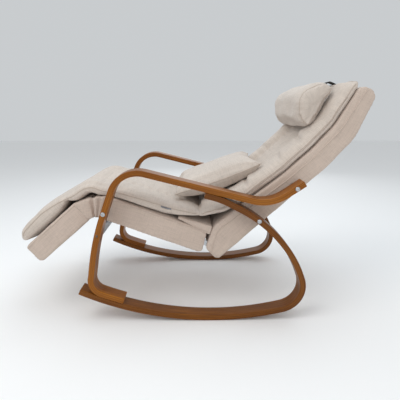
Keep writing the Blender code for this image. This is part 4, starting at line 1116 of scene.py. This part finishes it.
def neck_pillow():
    low, high = add(NECK_LOW, LOWER_DIR, -0.018), add(NECK_HIGH, HEAD_DIR, 0.016)
    corners = [
        low, high, add(high, FORWARDS, 0.038),
        add(add(high, FORWARDS, 0.112), HEAD_DIR, -0.070),
        add(add(low, left_of(LOWER_DIR), 0.056), LOWER_DIR, 0.006),
    ]
    outline = np.array(rounded_outline(corners, [0.008, 0.012, 0.026, 0.050, 0.022]))
    outline = resample([tuple(p) for p in np.vstack([outline, outline[:1]])], 0.008)[:-1]
    centre = outline.mean(0)
    half = 0.2185
    stations = [-1, -0.995, -0.975, -0.94, -0.88, *np.linspace(-0.8, 0.8, 33), 0.88, 0.94, 0.975, 0.995, 1]
    verts = []
    for u in stations:
        size = max(0.86, (1 - abs(u) ** 16) ** 0.4)
        for k, p in enumerate(outline):
            q = centre + (p - centre) * size
            verts.append((q[0], half * u, q[1]))
    m = len(outline)
    piece = new_piece("neck_pillow_cover", verts, capped(len(stations), m), LINEN_PILLOW)
    remesh(piece, 0.0055)
    smooth(piece, 2)
    inflate(piece, 0.009, 5.0, 20, 5.0, 0.1)
    co, nm = coords(piece), normals(piece)
    a = np.abs(co[:, 1])
    angle = np.arctan2(co[:, 2] - centre[1], co[:, 0] - centre[0])
    rim = np.exp(-(((a - 0.200) / 0.022) ** 2))
    gathers = np.sin(angle * 17 + 2.5 * fine_noise(co, 14, 3)) * (0.5 + fine_noise(co, 8, 11))
    broad = fine_noise(co * np.array([1.0, 0.35, 1.0]), 15, 5) * 0.0040
    folds = np.abs(fine_noise(co * np.array([1.0, 0.5, 1.0]), 22, 17)) * -0.0060
    co += nm * (0.0024 * gathers * rim + broad + folds + 0.0015)[:, None]
    set_coords(piece, co)
    ring = [(q[0], q[1]) for q in centre + (outline - centre) * 0.97]
    lines = [[(x, side * 0.2035, z) for x, z in ring + ring[:1]] for side in (-1, 1)]
    groove(piece, lines, 0.0028, 0.0045, 0.0012, 8.0)
    subdivide(piece)
    co = coords(piece)
    store(piece, "cloth", np.stack([angle_to_run(co, centre), co[:, 1], co[:, 2] * 0], 1))
    stand_for(piece, "neck_pillow", "linen", "neck_pillow")
    for (label, side), line in zip(SIDES, lines):
        made = tube(label + "_neck_pillow_seam", on_surface(piece, line[:-1], 0.0003), 0.0012, SEAM, True)
        stand_for(made, "neck_pillow", "linen")


def angle_to_run(co, centre):
    d = np.hypot(co[:, 0] - centre[0], co[:, 2] - centre[1])
    return np.arctan2(co[:, 2] - centre[1], co[:, 0] - centre[0]) * 0.07 + d * 0.6


neck_pillow()


def throw_pillow():
    centre, turn, length, width, thick = (0.090, 0.5385), radians(19.5), 0.380, 0.395, 0.100
    along, up = heading(turn), left_of(heading(turn))
    n = 61
    t = np.sin(np.linspace(-1, 1, n) * pi / 2)
    verts = []

    def place(u, v, face):
        pull = 0.085
        a = length / 2 * u * (1 - pull * (1 - v * v) * abs(u) ** 2)
        y = width / 2 * v * (1 - pull * (1 - u * u) * abs(v) ** 2)
        body = max(0.0, (1 - abs(u) ** 2.6) * (1 - abs(v) ** 2.6)) ** 0.62
        h = face * (0.0028 + (thick / 2 - 0.007) * body)
        x, z = add(add(centre, along, a), up, h - 0.013 * (1 - u * u))
        return (x, y, z)

    for face in (1, -1):
        verts += [place(u, v, face) for u in t for v in t]
    faces, rim = two_layers(n, n)
    piece = new_piece("throw_pillow_cover", verts, faces, LINEN_PILLOW)
    faced = [[np.array(place(t[k // n], t[k % n], face)) / 2 for face in (1, -1)] for k in rim]
    edge = [top + under for top, under in faced]
    remesh(piece, 0.0048)
    smooth(piece, 1)
    inflate(piece, 0.009, 4.0, 20, 5.0, 0.1)
    co, nm = coords(piece), normals(piece)
    q = co[:, [0, 2]] - np.array(centre)
    u = (q @ np.array(along)) / (length / 2)
    v = co[:, 1] / (width / 2)
    near = np.clip(np.maximum(np.abs(u), np.abs(v)), 0, 1)
    corner = np.clip(np.abs(u) * np.abs(v) * 1.3, 0, 1)
    around = np.arctan2(np.abs(v) - 0.95, np.abs(u) - 0.95) * 9 + 3 * fine_noise(co, 9, 2)
    radial = np.sin(around) * corner ** 2 * (1 - near ** 8)
    co += nm * (0.0022 * radial + 0.0030 * fine_noise(co, 10, 21) + 0.0010 * fine_noise(co, 34, 8))[:, None]
    set_coords(piece, co)
    groove(piece, [edge + edge[:1]], 0.0010, 0.0050, 0.0014, 12.0)
    subdivide(piece)
    co = coords(piece)
    q = co[:, [0, 2]] - np.array(centre)
    store(piece, "cloth", np.stack([q @ np.array(along), co[:, 1], q @ np.array(up) * 0.5], 1))
    stand_for(piece, "throw_pillow", "linen", "throw_pillow")
    line = on_surface(piece, [tuple(p + (p - np.array([centre[0], 0, centre[1]])) * 0.1) for p in edge],
        0.0002)
    stand_for(tube("throw_pillow_seam", line, 0.0013, SEAM, True), "throw_pillow", "linen")


throw_pillow()


# ---------------------------------------------------------------- strap, pouch, flap and tab
def band(name, path, half, thick, material):
    spine = Spine(resample(path, 0.004))
    verts = []
    shape = [(-1, 0.2), (-0.985, 0.95), (-0.5, 1.0), (0, 1.02), (0.5, 1.0), (0.985, 0.95), (1, 0.2),
        (0.9, 0)]
    section = [(half * y, h) for y, h in shape + [(0, 0), (-0.9, 0)]]
    for s in spine.s:
        for y, h in section:
            x, z = spine.at(s, h * thick)
            verts.append((x, y, z))
    return new_piece(name, verts, capped(len(spine.s), len(section)), material)


STRAP_HALF = 0.0225
STRAP_THICK = 0.002
POUCH_HALF = 0.079


def strap_and_pouch():
    head_end = add(BACK_TOP, HEAD_DIR, 0.012)
    over = add(add(head_end, FORWARDS, 0.033 + 0.0008 + 0.020 + 0.026), HEAD_DIR, 0.0005)
    rear = add(BACK_TOP, FORWARDS, -0.0368)
    start = add(NECK_HIGH, FORWARDS, -0.018)
    stop = add(rear, HEAD_DIR, -0.070)
    path = rounded_path([start, over, add(rear, HEAD_DIR, 0.0125), stop], [0.010, 0.016])
    piece = band("neck_pillow_strap", path, STRAP_HALF, STRAP_THICK, WEBBING)
    stand_for(piece, "neck_pillow", "webbing", "neck_strap")
    top = add(stop, HEAD_DIR, -0.0003)
    base = [top, add(top, HEAD_DIR, -0.062)]
    outline = rounded_outline(offset(base, 0.0155) + offset(base, 0.0005)[::-1],
        [0.004, 0.006, 0.006, 0.004])
    verts = [(x, y, z) for y in (-POUCH_HALF, POUCH_HALF) for x, z in outline]
    pouch = new_piece("counterweight_pouch", verts, capped(2, len(outline)), LINING, False)
    remesh(pouch, 0.004)
    smooth(pouch, 4)
    crumple(pouch, 14.0, 0.0006, 0.0004)
    stand_for(pouch, "neck_pillow", "lining", "neck_counterweight")


strap_and_pouch()


def flap():
    low, high = offset(BACK_CORNERS, BACK_FRONTS)[:2]
    direction = towards(low, high)
    out = left_of(direction)
    start = seat_point(0.284, SEAT_TOP + 0.013)
    corners = [start, add(add(low, direction, 0.058), out, 0.0005), add(high, out, 0.0005)]
    piece = extruded("seat_gusset", rounded_outline(corners, [0.004, 0.004, 0.004]), 0.2514, LINEN_BOX_SHADED)
    remesh(piece, 0.005)
    smooth(piece, 2)
    crumple(piece, 31.0, 0.0008, 0.0004)
    spine = Spine([corners[0], corners[1]])
    cloth_place(piece, spine)
    stand_for(piece, "frame", "linen", "seat_back_flap")
    run = towards(corners[0], corners[1])
    ends = [add(corners[0], run, 0.012), add(corners[1], towards(corners[1], corners[0]), 0.006)]
    hem = [add(tuple(p), left_of(run), 0.005) for p in resample(ends, 0.006)]
    side_seams("gusset_hem", piece, hem, "frame", radius=0.0010)


flap()


def tab():
    n, m = 15, 6
    verts = []
    for layer in (0.0003, 0.0016):
        flat = []
        for k in range(n):
            for j in range(m):
                x, z = seat_point(0.243 + 0.038 * k / (n - 1), SEAT_TOP + 0.0395 + 0.014 * j / (m - 1))
                flat.append((x, -0.30, z))
        verts += [tuple(p) for p in on_surface(LONG, flat, layer)]
    stand_for(new_piece("side_tab", verts, two_layers(n, m)[0], TAB), "frame", "lining", "label_tab")


tab()
